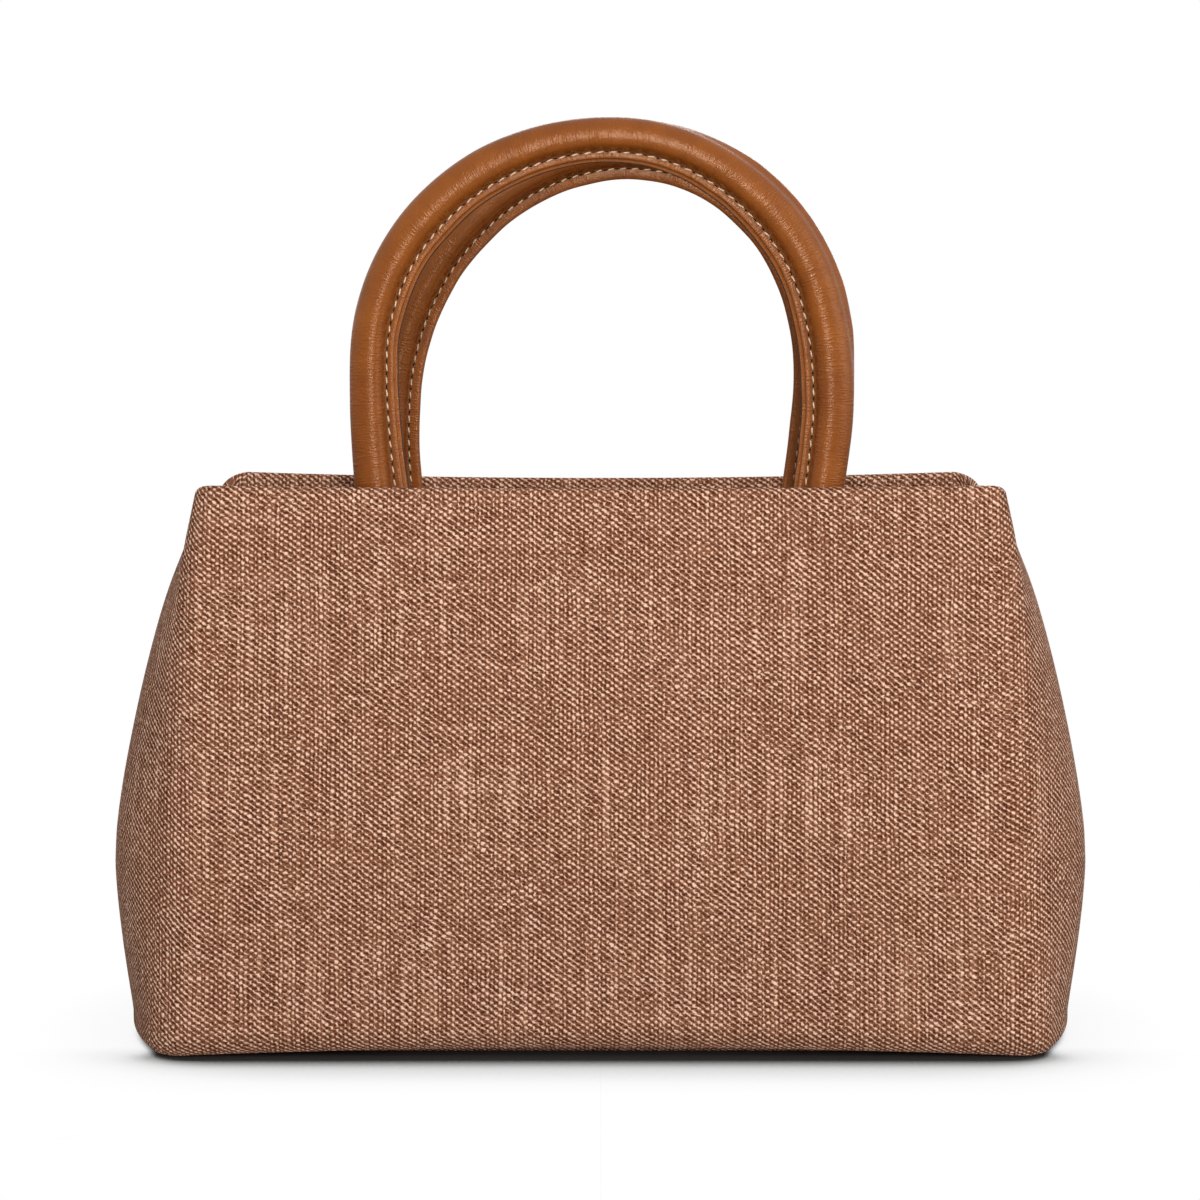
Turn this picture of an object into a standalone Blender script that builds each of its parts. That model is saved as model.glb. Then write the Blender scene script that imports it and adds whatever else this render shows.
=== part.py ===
# Structured handbag: woven cloth over boards, lined, with two rolled leather handles.
# Metres, Z up. X runs across the front, the front faces -Y and the bag stands on Z = 0.
import bpy
import bmesh
from math import asin, atan, atan2, copysign, cos, pi, sin, sqrt
from mathutils import Matrix, Vector

# Outside sizes of the body
BODY_HEIGHT = 0.190         # floor to the rim at the front corners
MOUTH_DEPTH = 0.085         # front face to rear face at the rim
BASE_DEPTH = 0.125          # the same at the foot
MOUTH_WIDTH = 0.2712        # front panel, edge to edge at the rim
BELLY_WIDTH = 0.3074        # the same where it is widest
FOOT_WIDTH = 0.3036         # the same at the foot
BELLY_HEIGHT = 0.069        # height of the widest place
SIDE_CURVE = 1.4            # power of the draw-in above the belly
CORNER_RIM = 0.008          # upright corners, in plan: the radius at the rim
CORNER_BELLY = 0.020        # at the widest place
CORNER_FOOT = 0.013         # and towards the floor
FOOT_RADIUS = 0.009         # roll of the cloth under the long lower edges
SIDE_FOOT_RADIUS = 0.005    # the same under the gussets
BASE_INSET = 0.015          # from the outside in to the seam with the base
FOOT_LIFT = 0.0027          # the long lower edges arch up this much

# Gussets: how far the middle of each stands out past the panels' edges
GUSSET_BULGE = 0.0156       # at its fullest
GUSSET_BELLY = 0.058        # height of that place
GUSSET_TUCK = 0.0062        # drawn in again at the foot
TUCK_CURVE = 1.5
GUSSET_TAPER = 0.0115       # drawn in steadily up to the rim
TAPER_CURVE = 1.2
GUSSET_PINCH = 0.0141       # and pinched in sharply close to the rim
PINCH_CURVE = 8

# Rim line
FRONT_SAG = 0.0010
REAR_SAG = 0.0022
REAR_RISE = 0.0014          # rear corners above the front ones
FRONT_DROP = 0.0030         # the rim falls round each upright corner
REAR_DROP = 0.0065
FRONT_DROP_CURVE = 3
REAR_DROP_CURVE = 1.6
GUSSET_DIP = 0.0010

# Layers of the wall
CLOTH = 0.0011
BOARD = 0.0010
LINING = 0.0006
BASE_BOARD = 0.0018
GAP = 0.0003                # left between any two pieces that touch
FACING_DROP = 0.032         # the cloth turned over the rim runs down this far inside
FOLD = 2 * CLOTH + BOARD + 2 * GAP
SHARP = 0.0008              # least corner radius of an inner outline

# Slip pocket on the rear lining
POCKET_WIDTH = 0.150
POCKET_HEIGHT = 0.085
POCKET_SILL = 0.050

# Handles
TUBE_RADIUS = 0.00575
LEATHER = 0.0013
FLANGE = 0.0047             # how far the sewn edge stands off the tube
PIVOT_RISE = 0.0040         # bending line above the rim
TAIL = 0.0045               # leather carries on below that line

# spread: tube centre to tube centre where widest; rise: tube centre at the top, above the rim;
# arch: height of the half ellipse that forms the top; lean: sideways, at the top;
# tapers: the left and the right leg draw in this much down to the rim;
# pull: the right half stands this much further in, low on its leg and higher up
HANDLES = {
    "front": {"spread": 0.1592, "rise": 0.1168, "arch": 0.0738, "lean": 0.0033,
              "tapers": (0.0025, 0.0025), "pull": (0.0011, 0.0041)},
    "rear": {"spread": 0.1542, "rise": 0.1160, "arch": 0.0845, "lean": 0.0098,
             "tapers": (0.0025, 0.0007), "pull": (0.0004, 0.0012)},
}
PULL_LOW = 0.020            # the pull grows between these heights above the rim
PULL_HIGH = 0.062
PULL_REACH = 0.055          # and is full at this distance from the middle

# Tabs that hold the handle ends inside the mouth
TAB_WIDTH = 0.022
TAB_DROP = 0.030
TAB_NECK = 0.013
TAB_THICKNESS = 0.0018

# Magnetic snap
SNAP_RADIUS = 0.008
SNAP_DROP = 0.017           # centre below the rim
STUD_BASE = 0.0014
STUD_RADIUS = 0.0034
STUD_POST = 0.0018
SOCKET_HEIGHT = 0.0026
WASHER_RADIUS = 0.006
WASHER_THICKNESS = 0.0005

# Colour, roughness and metallic value
FINISHES = {
    "woven_cloth": ((0.33, 0.17, 0.10), 0.85, 0.0),
    "stiffener": ((0.45, 0.38, 0.28), 0.90, 0.0),
    "lining_cloth": ((0.30, 0.20, 0.12), 0.80, 0.0),
    "cognac_leather": ((0.34, 0.10, 0.025), 0.40, 0.0),
    "cotton_core": ((0.72, 0.66, 0.54), 0.95, 0.0),
    "plated_steel": ((0.75, 0.62, 0.38), 0.25, 1.0),
}


def smooth_step(value, low, high):
    t = min(max((value - low) / (high - low), 0), 1)
    return t * t * (3 - 2 * t)


def half_width(z):
    if z > BELLY_HEIGHT:
        up = (z - BELLY_HEIGHT) / (BODY_HEIGHT - BELLY_HEIGHT)
        return (BELLY_WIDTH - (BELLY_WIDTH - MOUTH_WIDTH) * up ** SIDE_CURVE) / 2
    down = 1 - z / BELLY_HEIGHT
    return (BELLY_WIDTH - (BELLY_WIDTH - FOOT_WIDTH) * down ** 2) / 2


def half_depth(z):
    up = (z - FOOT_RADIUS) / (BODY_HEIGHT - FOOT_RADIUS)
    return (BASE_DEPTH + (MOUTH_DEPTH - BASE_DEPTH) * up) / 2


def bulge(z):
    if z > GUSSET_BELLY:
        up = (z - GUSSET_BELLY) / (BODY_HEIGHT - GUSSET_BELLY)
        return GUSSET_BULGE - GUSSET_TAPER * up ** TAPER_CURVE - GUSSET_PINCH * up ** PINCH_CURVE
    down = 1 - z / GUSSET_BELLY
    return GUSSET_BULGE - GUSSET_TUCK * down ** TUCK_CURVE


def corner_radius(z):
    # The cloth turns wide round the belly and tighter at the rim and at the foot.
    if z > BELLY_HEIGHT:
        return CORNER_BELLY + (CORNER_RIM - CORNER_BELLY) * smooth_step(z, BELLY_HEIGHT, BODY_HEIGHT)
    return CORNER_BELLY + (CORNER_FOOT - CORNER_BELLY) * (1 - z / BELLY_HEIGHT) ** 2


def corner_frame(z, inset):
    # Corner radius, the corner centre's place and the gusset's half angle, all at one level.
    corner = max(corner_radius(z) - inset, SHARP)
    across = half_width(z) - inset - corner
    out = half_depth(z) - inset - corner
    angle = 2 * atan(bulge(z) / out)
    return corner, across, out, angle


def panel_plan(u, z, inset):
    # u from -1 to 1 runs along the flat front; beyond it the cloth turns the upright corner.
    corner, across, out, angle = corner_frame(z, inset)
    if abs(u) <= 1:
        return u * across, -(out + corner)
    turn = (abs(u) - 1) * (pi / 2 - angle)
    return copysign(across + corner * sin(turn), u), -(out + corner * cos(turn))


def gusset_plan(u, z, inset):
    # An arc that leaves both corners in line with them; u = -1 is the front seam.
    corner, across, out, angle = corner_frame(z, inset)
    if abs(angle) < 1e-4:
        angle = 1e-4
    reach = out + corner * sin(angle)
    swing = u * (1 - GAP / reach) * angle
    side = across + corner * cos(angle) + reach * (cos(swing) - cos(angle)) / sin(angle)
    return -side, reach * sin(swing) / sin(angle)


def panel_rim(u, rise, sag, drop, curve):
    if abs(u) <= 1:
        return BODY_HEIGHT + rise - sag * (1 - u ** 2)
    return BODY_HEIGHT + rise - drop * (abs(u) - 1) ** curve


def gusset_rim(u):
    front = BODY_HEIGHT - FRONT_DROP
    rear = BODY_HEIGHT + REAR_RISE - REAR_DROP
    return front + (rear - front) * (u + 1) / 2 - GUSSET_DIP * (1 - u ** 2)


def foot_lift(u):
    return FOOT_LIFT * max(1 - u ** 2, 0)


def panel_foot(u):
    # Radius of the lower roll: it tightens round the upright corner.
    return FOOT_RADIUS + (SIDE_FOOT_RADIUS - FOOT_RADIUS) * max(abs(u) - 1, 0)


# The walls: four sides that share one section. Each side maps its own u to the plan.
SIDES = {
    "front": {
        "plan": panel_plan,
        "rim": lambda u: panel_rim(u, 0, FRONT_SAG, FRONT_DROP, FRONT_DROP_CURVE),
        "lift": foot_lift,
        "foot": panel_foot,
        "mirror": (1, 1),
    },
    "rear": {
        "plan": panel_plan,
        "rim": lambda u: panel_rim(u, REAR_RISE, REAR_SAG, REAR_DROP, REAR_DROP_CURVE),
        "lift": foot_lift,
        "foot": panel_foot,
        "mirror": (1, -1),
    },
    "left": {
        "plan": gusset_plan,
        "rim": gusset_rim,
        "lift": lambda u: 0,
        "foot": lambda u: SIDE_FOOT_RADIUS,
        "mirror": (1, 1),
    },
    "right": {
        "plan": gusset_plan,
        "rim": gusset_rim,
        "lift": lambda u: 0,
        "foot": lambda u: SIDE_FOOT_RADIUS,
        "mirror": (-1, 1),
    },
}
FLAT_COLUMNS = [n / 4 for n in range(-4, 5)]
CORNER_COLUMNS = [1.25, 1.5, 1.75, 2]
PANEL_COLUMNS = [-u for u in CORNER_COLUMNS[::-1]] + FLAT_COLUMNS + CORNER_COLUMNS
GUSSET_COLUMNS = [n / 4 for n in range(-4, 5)]

UNDER_STEPS = [("under", t) for t in (0, 0.5)]
FOOT_STEPS = [("foot", t) for t in (0, 1 / 3, 2 / 3)]
WALL_STEPS = [("wall", t) for t in (0, 0.08, 0.2, 0.36, 0.54, 0.72, 0.87, 1)]
MOUTH_STEPS = [("mouth", t) for t in (0.3, 0.6, 0.8, 1)]
FOLD_STEPS = [("fold", t) for t in (0.25, 0.5, 0.75, 1)]
FACING_STEPS = [("facing", t) for t in (0.8, 0.6, 0.3, 0)]


def section_point(step, depth, rim, lift, foot, trim):
    # One place on the wall's section: its inset from the outside and its height.
    stretch, t = step
    facing_end = rim - FACING_DROP
    fold_start = rim - FOLD / 2
    if stretch == "under":
        return foot + (BASE_INSET - foot) * (1 - t), lift * t * t * (3 - 2 * t) + depth
    if stretch == "foot":
        reach = foot - depth
        return foot - reach * sin(t * pi / 2), foot + lift - reach * cos(t * pi / 2)
    if stretch == "wall":
        low = foot + lift
        return depth, low + (facing_end - trim - low) * t
    if stretch == "fold":
        reach = FOLD / 2 - depth
        return FOLD / 2 - reach * cos(t * pi), fold_start + reach * sin(t * pi)
    z = facing_end + (fold_start - facing_end) * t
    return (depth if stretch == "mouth" else FOLD - depth), z


def wall_point(side, u, step, depth, trim):
    shape = SIDES[side]
    rim, lift, foot = (shape[key](u) for key in ("rim", "lift", "foot"))
    inset, z = section_point(step, depth, rim, lift, foot, trim)
    x, y = shape["plan"](u, max(z, FOOT_RADIUS), inset)
    return Vector((x * shape["mirror"][0], y * shape["mirror"][1], z))


def finish(name):
    material = bpy.data.materials.get(name)
    if material is None:
        colour, roughness, metallic = FINISHES[name]
        material = bpy.data.materials.new(name)
        material.use_nodes = True
        shader = material.node_tree.nodes["Principled BSDF"]
        shader.inputs["Base Color"].default_value = (*colour, 1)
        shader.inputs["Roughness"].default_value = roughness
        shader.inputs["Metallic"].default_value = metallic
        material.diffuse_color = (*colour, 1)
    return material


def add_object(name, bm, material, parent=None, smooth=True):
    bmesh.ops.recalc_face_normals(bm, faces=bm.faces)
    mesh = bpy.data.meshes.new(name)
    bm.to_mesh(mesh)
    bm.free()
    if smooth:
        mesh.shade_smooth()
        mesh.set_sharp_from_angle(angle=0.6)
    mesh.materials.append(finish(material))
    piece = bpy.data.objects.new(name, mesh)
    bpy.context.collection.objects.link(piece)
    piece.parent = parent
    return piece


def add_sheet(name, columns, material):
    # A closed sheet from columns of (outer, inner) pairs of points.
    bm = bmesh.new()
    outer = [[bm.verts.new(pair[0]) for pair in column] for column in columns]
    inner = [[bm.verts.new(pair[1]) for pair in column] for column in columns]
    last_column = len(columns) - 1
    last_row = len(columns[0]) - 1
    for c in range(last_column):
        for r in range(last_row):
            for skin in (outer, inner):
                quad = [skin[c][r], skin[c + 1][r], skin[c + 1][r + 1], skin[c][r + 1]]
                # Where the sheet runs down, the quad starts one corner later.
                falls = quad[3].co.z < quad[0].co.z
                bm.faces.new(quad[1:] + quad[:1] if falls else quad)
        for r in (0, last_row):
            bm.faces.new((outer[c][r], outer[c + 1][r], inner[c + 1][r], inner[c][r]))
    for r in range(last_row):
        for c in (0, last_column):
            bm.faces.new((outer[c][r], outer[c][r + 1], inner[c][r + 1], inner[c][r]))
    # Every layer splits its quads from low to high the same way, so that layers stay parallel.
    bmesh.ops.triangulate(bm, faces=bm.faces, quad_method="FIXED")
    return add_object(name, bm, material)


def add_wall_layer(name, side, u_values, steps, depths, material, trim=0):
    columns = []
    for u in u_values:
        pairs = [[wall_point(side, u, step, depth, trim) for depth in depths] for step in steps]
        columns.append(pairs)
    return add_sheet(name, columns, material)


def add_loft(name, rings, material, parent=None):
    # Rings of equal count joined in order, with a cap on each end.
    bm = bmesh.new()
    loops = [[bm.verts.new(point) for point in ring] for ring in rings]
    count = len(loops[0])
    for low, high in zip(loops, loops[1:]):
        for k in range(count):
            bm.faces.new((low[k], low[(k + 1) % count], high[(k + 1) % count], high[k]))
    bm.faces.new(loops[0])
    bm.faces.new(loops[-1])
    return add_object(name, bm, material, parent)


def add_walls():
    for side in SIDES:
        upright = side in ("front", "rear")
        spans = PANEL_COLUMNS if upright else GUSSET_COLUMNS
        cloth_name = side + ("_panel" if upright else "_gusset")
        board_name = side + ("_board" if upright else "_gusset_board")
        cloth_steps = UNDER_STEPS + FOOT_STEPS + WALL_STEPS + MOUTH_STEPS + FOLD_STEPS + FACING_STEPS
        add_wall_layer(cloth_name, side, spans, cloth_steps, (0, CLOTH), "woven_cloth")
        board_at = CLOTH + GAP
        board_spans = FLAT_COLUMNS[::2] if upright else GUSSET_COLUMNS
        add_wall_layer(board_name, side, board_spans, WALL_STEPS + MOUTH_STEPS,
                       (board_at, board_at + BOARD), "stiffener")
        lining_at = board_at + BOARD + GAP
        add_wall_layer(side + "_lining", side, spans, UNDER_STEPS + FOOT_STEPS + WALL_STEPS,
                       (lining_at, lining_at + LINING), "lining_cloth", GAP)


def base_outline(inset):
    level = FOOT_RADIUS
    points = []
    for side, spans in (("front", PANEL_COLUMNS), ("right", GUSSET_COLUMNS),
                        ("rear", PANEL_COLUMNS[::-1]), ("left", GUSSET_COLUMNS[::-1])):
        shape = SIDES[side]
        for u in spans:
            x, y = shape["plan"](u, level, inset)
            points.append((x * shape["mirror"][0], y * shape["mirror"][1]))
    return points


def add_base():
    # Cloth, board and lining lie on each other inside the seam that the walls end at.
    outline = base_outline(BASE_INSET + GAP)
    level = 0
    for name, thickness, material in (("base_panel", CLOTH, "woven_cloth"),
                                      ("base_board", BASE_BOARD, "stiffener"),
                                      ("base_lining", LINING, "lining_cloth")):
        rings = [[(x, y, z) for x, y in outline] for z in (level, level + thickness)]
        add_loft(name, rings, material)
        level += thickness + GAP


def add_pocket():
    # A patch of lining cloth sewn flat to the rear lining, open along its top.
    depth = FOLD - CLOTH + LINING + GAP
    columns = []
    for n in range(-3, 4):
        x = n / 3 * POCKET_WIDTH / 2
        heights = [POCKET_SILL + POCKET_HEIGHT * k / 2 for k in range(3)]
        columns.append([[Vector((x, half_depth(z) - depth - d, z)) for d in (0, LINING)]
                        for z in heights])
    add_sheet("slip_pocket", columns, "lining_cloth")


def handle_line(spread, rise, arch, lean, tapers, pull):
    # Centre line of the tube from the left leg's end to the right one's, heights from the rim.
    half = spread / 2
    shoulder = rise - arch
    foot = PIVOT_RISE - TAIL
    heights = [foot + (shoulder - foot) * k / 4 for k in range(4)]
    left, right = [[(half - taper * ((shoulder - z) / shoulder) ** 2, z) for z in heights]
                   for taper in tapers]
    points = [(-x, z) for x, z in left]
    for k in range(23):
        turn = pi * k / 22
        points.append((-half * cos(turn), shoulder + arch * sin(turn)))
    points += right[::-1]
    line = []
    for x, z in points:
        drawn = pull[0] + (pull[1] - pull[0]) * smooth_step(z, PULL_LOW, PULL_HIGH)
        x -= drawn * smooth_step(x, 0, PULL_REACH)
        line.append(Vector((x + lean * z / rise, 0, z - PIVOT_RISE)))
    return line


def outward_normals(line):
    # The legs end square to Z, so that the cut ends lie flat.
    normals = []
    for k, point in enumerate(line):
        along = line[min(k + 1, len(line) - 1)] - line[max(k - 1, 0)]
        normals.append(Vector((-along.z, 0, along.x)).normalized())
    normals[0] = Vector((-1, 0, 0))
    normals[-1] = Vector((1, 0, 0))
    return normals


def leather_section():
    # Round tube with the two sewn edges side by side, pointing into the arch.
    half_edge = LEATHER
    start = pi - asin(half_edge / TUBE_RADIUS)
    points = [(-(TUBE_RADIUS + FLANGE), half_edge)]
    for k in range(12):
        turn = start - 2 * start * k / 11
        points.append((TUBE_RADIUS * cos(turn), TUBE_RADIUS * sin(turn)))
    points.append((-(TUBE_RADIUS + FLANGE), -half_edge))
    return points


def place_section(line, normals, section):
    return [[point + normal * out + Vector((0, across, 0)) for out, across in section]
            for point, normal in zip(line, normals)]


def add_handle_leather(name, line, normals, parent):
    outer_section = leather_section()
    bore = TUBE_RADIUS - LEATHER
    bore_section = []
    for out, across in outer_section:
        turn = atan2(across, out)
        bore_section.append((bore * cos(turn), bore * sin(turn)))
    bm = bmesh.new()
    skins = []
    for section in (outer_section, bore_section):
        rings = place_section(line, normals, section)
        skins.append([[bm.verts.new(point) for point in ring] for ring in rings])
    count = len(outer_section)
    for loops in skins:
        for low, high in zip(loops, loops[1:]):
            for k in range(count):
                bm.faces.new((low[k], low[(k + 1) % count], high[(k + 1) % count], high[k]))
    outer, inner = skins
    for end in (0, -1):
        for k in range(count):
            near, far = k, (k + 1) % count
            bm.faces.new((outer[end][near], outer[end][far], inner[end][far], inner[end][near]))
    return add_object(name, bm, "cognac_leather", parent)


def add_handle_core(name, line, normals, parent):
    # The core stands out below the leather and is domed, so that it can swing over its tab.
    radius = TUBE_RADIUS - LEATHER - GAP
    reach = swing_radius()
    shoulder = sqrt(reach ** 2 - radius ** 2)
    circle = [2 * pi * k / 10 for k in range(10)]
    rings = place_section(line, normals, [(radius * cos(a), radius * sin(a)) for a in circle])

    def dome(centre_x, side):
        loops = []
        for share in (1, 0.7, 0.3):
            ring_radius = radius * share
            z = -sqrt(reach ** 2 - ring_radius ** 2) if share < 1 else -shoulder
            loops.append([Vector((centre_x + side * ring_radius * cos(a), ring_radius * sin(a), z))
                          for a in circle])
        return loops

    left = dome(line[0].x, -1)
    right = dome(line[-1].x, 1)
    return add_loft(name, left[::-1] + rings + right, "cotton_core", parent)


def swing_radius():
    # Farthest corner of the leather's cut end from the bending line.
    return sqrt(TUBE_RADIUS ** 2 + TAIL ** 2)


def handle_place():
    # Distance of the tube's centre from the bag's middle plane.
    return half_depth(BODY_HEIGHT) - FOLD - GAP - TUBE_RADIUS


def add_tab(name, x, rear):
    # Flat below, where it is sewn to the wall, and round above, where the handle starts.
    top = BODY_HEIGHT + PIVOT_RISE - swing_radius() - GAP
    low = BODY_HEIGHT - TAB_DROP
    neck = top - TAB_NECK
    half_tab = TAB_WIDTH / 2
    corners = 14
    stack = []
    for share in (0.05, 0.3, 0.65, 1):
        rise = half_tab * (1 - sqrt(1 - share ** 2)) if share < 1 else half_tab
        stack.append((low + rise, half_tab * share, 0))
    for k in range(5):
        stack.append((neck + TAB_NECK * k / 4, half_tab, k / 4))
    rings = []
    for z, half, round_share in stack:
        ease = round_share * round_share * (3 - 2 * round_share)
        wide = half + (TUBE_RADIUS - half) * ease
        thick = TAB_THICKNESS / 2 + (TUBE_RADIUS - TAB_THICKNESS / 2) * ease
        from_wall = FOLD + GAP + thick
        y = -(half_depth(z) - from_wall)
        square = 1 - 0.6 * (1 - ease)
        ring = []
        for k in range(corners):
            a = 2 * pi * k / corners
            side = copysign(abs(cos(a)) ** square, cos(a)) * wide
            face = copysign(abs(sin(a)) ** square, sin(a)) * thick
            ring.append(Vector((x + side, (y + face) * (-1 if rear else 1), z)))
        rings.append(ring)
    return add_loft(name, rings, "cognac_leather")


def add_handles():
    for side, shape in HANDLES.items():
        sign = -1 if side == "front" else 1
        pivot = bpy.data.objects.new(side + "_handle_pivot", None)
        pivot.location = (0, sign * handle_place(), BODY_HEIGHT + PIVOT_RISE)
        bpy.context.collection.objects.link(pivot)
        line = handle_line(**shape)
        normals = outward_normals(line)
        add_handle_leather(side + "_handle_leather", line, normals, pivot)
        add_handle_core(side + "_handle_core", line, normals, pivot)
        add_tab(side + "_left_tab", line[0].x, sign > 0)
        add_tab(side + "_right_tab", line[-1].x, sign > 0)


def add_turned(name, profile, matrix, material):
    # A solid of revolution about its own Z, from (radius, height) pairs that start on the axis.
    bm = bmesh.new()
    points = [bm.verts.new((radius, 0, height)) for radius, height in profile]
    edges = [bm.edges.new(pair) for pair in zip(points, points[1:])]
    bmesh.ops.spin(bm, geom=points + edges, cent=(0, 0, 0), axis=(0, 0, 1),
                   angle=2 * pi, steps=16, use_merge=True)
    bmesh.ops.remove_doubles(bm, verts=bm.verts, dist=1e-6)
    piece = add_object(name, bm, material)
    piece.matrix_world = matrix
    return piece


def wall_frame(sign, depth):
    # Local Z points off the wall into the bag, at the snap's height.
    z = BODY_HEIGHT - SNAP_DROP
    lean = atan((BASE_DEPTH - MOUTH_DEPTH) / 2 / (BODY_HEIGHT - FOOT_RADIUS))
    place = Vector((0, sign * (half_depth(z) - depth), z))
    return Matrix.Translation(place) @ Matrix.Rotation(sign * (pi / 2 + lean), 4, "X")


def punch_board(board, matrix):
    # Round hole through the board for the snap's backing washer.
    bm = bmesh.new()
    bmesh.ops.create_cone(bm, cap_ends=True, segments=20, radius1=WASHER_RADIUS + GAP,
                          radius2=WASHER_RADIUS + GAP, depth=8 * BOARD)
    cutter = add_object(board.name + "_punch", bm, "stiffener")
    cutter.matrix_world = matrix
    cutter.hide_render = True
    cutter.display_type = "WIRE"
    cut = board.modifiers.new("washer hole", "BOOLEAN")
    cut.object = cutter


def add_snap():
    stud = [(0, 0), (SNAP_RADIUS, 0), (SNAP_RADIUS, STUD_BASE * 0.6), (SNAP_RADIUS * 0.92, STUD_BASE),
            (STUD_RADIUS, STUD_BASE), (STUD_RADIUS, STUD_BASE + STUD_POST * 0.8),
            (STUD_RADIUS * 0.8, STUD_BASE + STUD_POST), (0, STUD_BASE + STUD_POST)]
    well = STUD_RADIUS + GAP
    socket = [(0, 0), (SNAP_RADIUS, 0), (SNAP_RADIUS, SOCKET_HEIGHT * 0.8),
              (SNAP_RADIUS * 0.9, SOCKET_HEIGHT), (well, SOCKET_HEIGHT),
              (well, SOCKET_HEIGHT - STUD_POST), (0, SOCKET_HEIGHT - STUD_POST)]
    washer = [(0, 0), (WASHER_RADIUS, 0), (WASHER_RADIUS, WASHER_THICKNESS), (0, WASHER_THICKNESS)]
    on_facing = FOLD + GAP
    in_board = CLOTH + GAP + (BOARD + WASHER_THICKNESS) / 2
    for sign, half, profile in ((-1, "stud", stud), (1, "socket", socket)):
        add_turned("snap_" + half, profile, wall_frame(sign, on_facing), "plated_steel")
        add_turned(half + "_washer", washer, wall_frame(sign, in_board), "plated_steel")
        board = bpy.data.objects["front_board" if sign < 0 else "rear_board"]
        punch_board(board, wall_frame(sign, in_board))


def main():
    for old in list(bpy.data.objects):
        bpy.data.objects.remove(old, do_unlink=True)
    add_walls()
    add_base()
    add_pocket()
    add_handles()
    add_snap()


main()
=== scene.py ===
import bmesh
import bpy
from math import atan, atan2, copysign, cos, pi, radians, sin, sqrt
from mathutils import Matrix, Vector, noise


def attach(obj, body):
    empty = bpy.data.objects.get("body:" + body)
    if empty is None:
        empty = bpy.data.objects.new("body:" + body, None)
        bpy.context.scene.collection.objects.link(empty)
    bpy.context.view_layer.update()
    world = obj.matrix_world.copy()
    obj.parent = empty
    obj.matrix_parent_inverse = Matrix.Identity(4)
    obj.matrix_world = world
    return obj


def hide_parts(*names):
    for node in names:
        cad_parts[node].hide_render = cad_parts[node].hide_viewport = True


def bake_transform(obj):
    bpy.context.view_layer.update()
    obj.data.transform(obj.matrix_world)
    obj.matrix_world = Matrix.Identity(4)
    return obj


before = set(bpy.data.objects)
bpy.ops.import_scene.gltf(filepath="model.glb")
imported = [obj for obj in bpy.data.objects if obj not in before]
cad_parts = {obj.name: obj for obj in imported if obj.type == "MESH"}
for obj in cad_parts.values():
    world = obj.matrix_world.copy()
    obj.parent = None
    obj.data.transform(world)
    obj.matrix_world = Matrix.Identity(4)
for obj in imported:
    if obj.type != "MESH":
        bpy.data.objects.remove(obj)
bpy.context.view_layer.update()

# ---- camera, lamps, floor

cameraLook = {"place": (-0.0002, -1.042, 0.234), "tilt": 85.3, "lens": 90}

lamps = {
    "keyLamp": {"place": (0.05, -1.15, 0.62), "aim": (0, 0, 0.2), "size": (0.24, 0.8), "power": 9.8},
    "leftLamp": {"place": (-1.8, -0.8, 0.7), "aim": (0, 0, 0.12), "size": (1.2, 1.2), "power": 0.9},
    "rightLamp": {"place": (1.8, -0.8, 0.7), "aim": (0, 0, 0.12), "size": (1.2, 1.2), "power": 9.5},
    "rearLamp": {"place": (0.3, 1.7, 0.9), "aim": (0, 0, 0.1), "size": (1.4, 1.2), "power": 11.5},
}

# Floor brightness: open away from the bag, nearBounce right beside it, shade between and to the lens.
stageLook = {"shade": 0.03, "open": 0.62, "ambient": 0.31, "nearBounce": 0.78, "bounceReach": 0.19,
             "contactReach": 0.0155, "softReach": 0.05, "softSides": 0.94, "softFront": 0.5}


def link(piece):
    bpy.context.scene.collection.objects.link(piece)
    return piece


def makeCamera():
    data = bpy.data.cameras.new("camera")
    data.lens = cameraLook["lens"]
    data.sensor_width = 36
    camera = link(bpy.data.objects.new("camera", data))
    camera.location = cameraLook["place"]
    camera.rotation_euler = (radians(cameraLook["tilt"]), 0, 0)
    bpy.context.scene.camera = camera


def makeLamps():
    for name, look in lamps.items():
        data = bpy.data.lights.new(name, "AREA")
        data.shape = "RECTANGLE"
        data.size, data.size_y = look["size"]
        data.energy = look["power"]
        lamp = link(bpy.data.objects.new(name, data))
        lamp.location = look["place"]
        lamp.visible_camera = False
        away = Vector(look["place"]) - Vector(look["aim"])
        lamp.rotation_euler = away.to_track_quat("Z", "Y").to_euler()


# ---- small helpers for node trees


def addNode(tree, kind, **settings):
    node = tree.nodes.new(kind)
    for key, value in settings.items():
        setattr(node, key, value)
    return node


def feed(tree, socket, value):
    if isinstance(value, bpy.types.NodeSocket):
        tree.links.new(value, socket)
    elif value is not None:
        socket.default_value = value


def calc(tree, operation, *values):
    node = addNode(tree, "ShaderNodeMath", operation=operation)
    for socket, value in zip(node.inputs, values):
        feed(tree, socket, value)
    return node.outputs[0]


def split(tree, vector):
    node = addNode(tree, "ShaderNodeSeparateXYZ")
    feed(tree, node.inputs[0], vector)
    return node.outputs


def join(tree, x, y, z=0.0):
    node = addNode(tree, "ShaderNodeCombineXYZ")
    for socket, value in zip(node.inputs, (x, y, z)):
        feed(tree, socket, value)
    return node.outputs[0]


def mixTones(tree, share, first, second, blend="MIX"):
    node = addNode(tree, "ShaderNodeMix", data_type="RGBA", blend_type=blend)
    feed(tree, node.inputs[0], share)
    feed(tree, node.inputs[6], first)
    feed(tree, node.inputs[7], second)
    return node.outputs[2]


def spread(tree, value, low, high, outLow=0.0, outHigh=1.0, kind="SMOOTHSTEP"):
    node = addNode(tree, "ShaderNodeMapRange", interpolation_type=kind)
    for socket, number in zip(node.inputs, (value, low, high, outLow, outHigh)):
        feed(tree, socket, number)
    return node.outputs[0]


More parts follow.
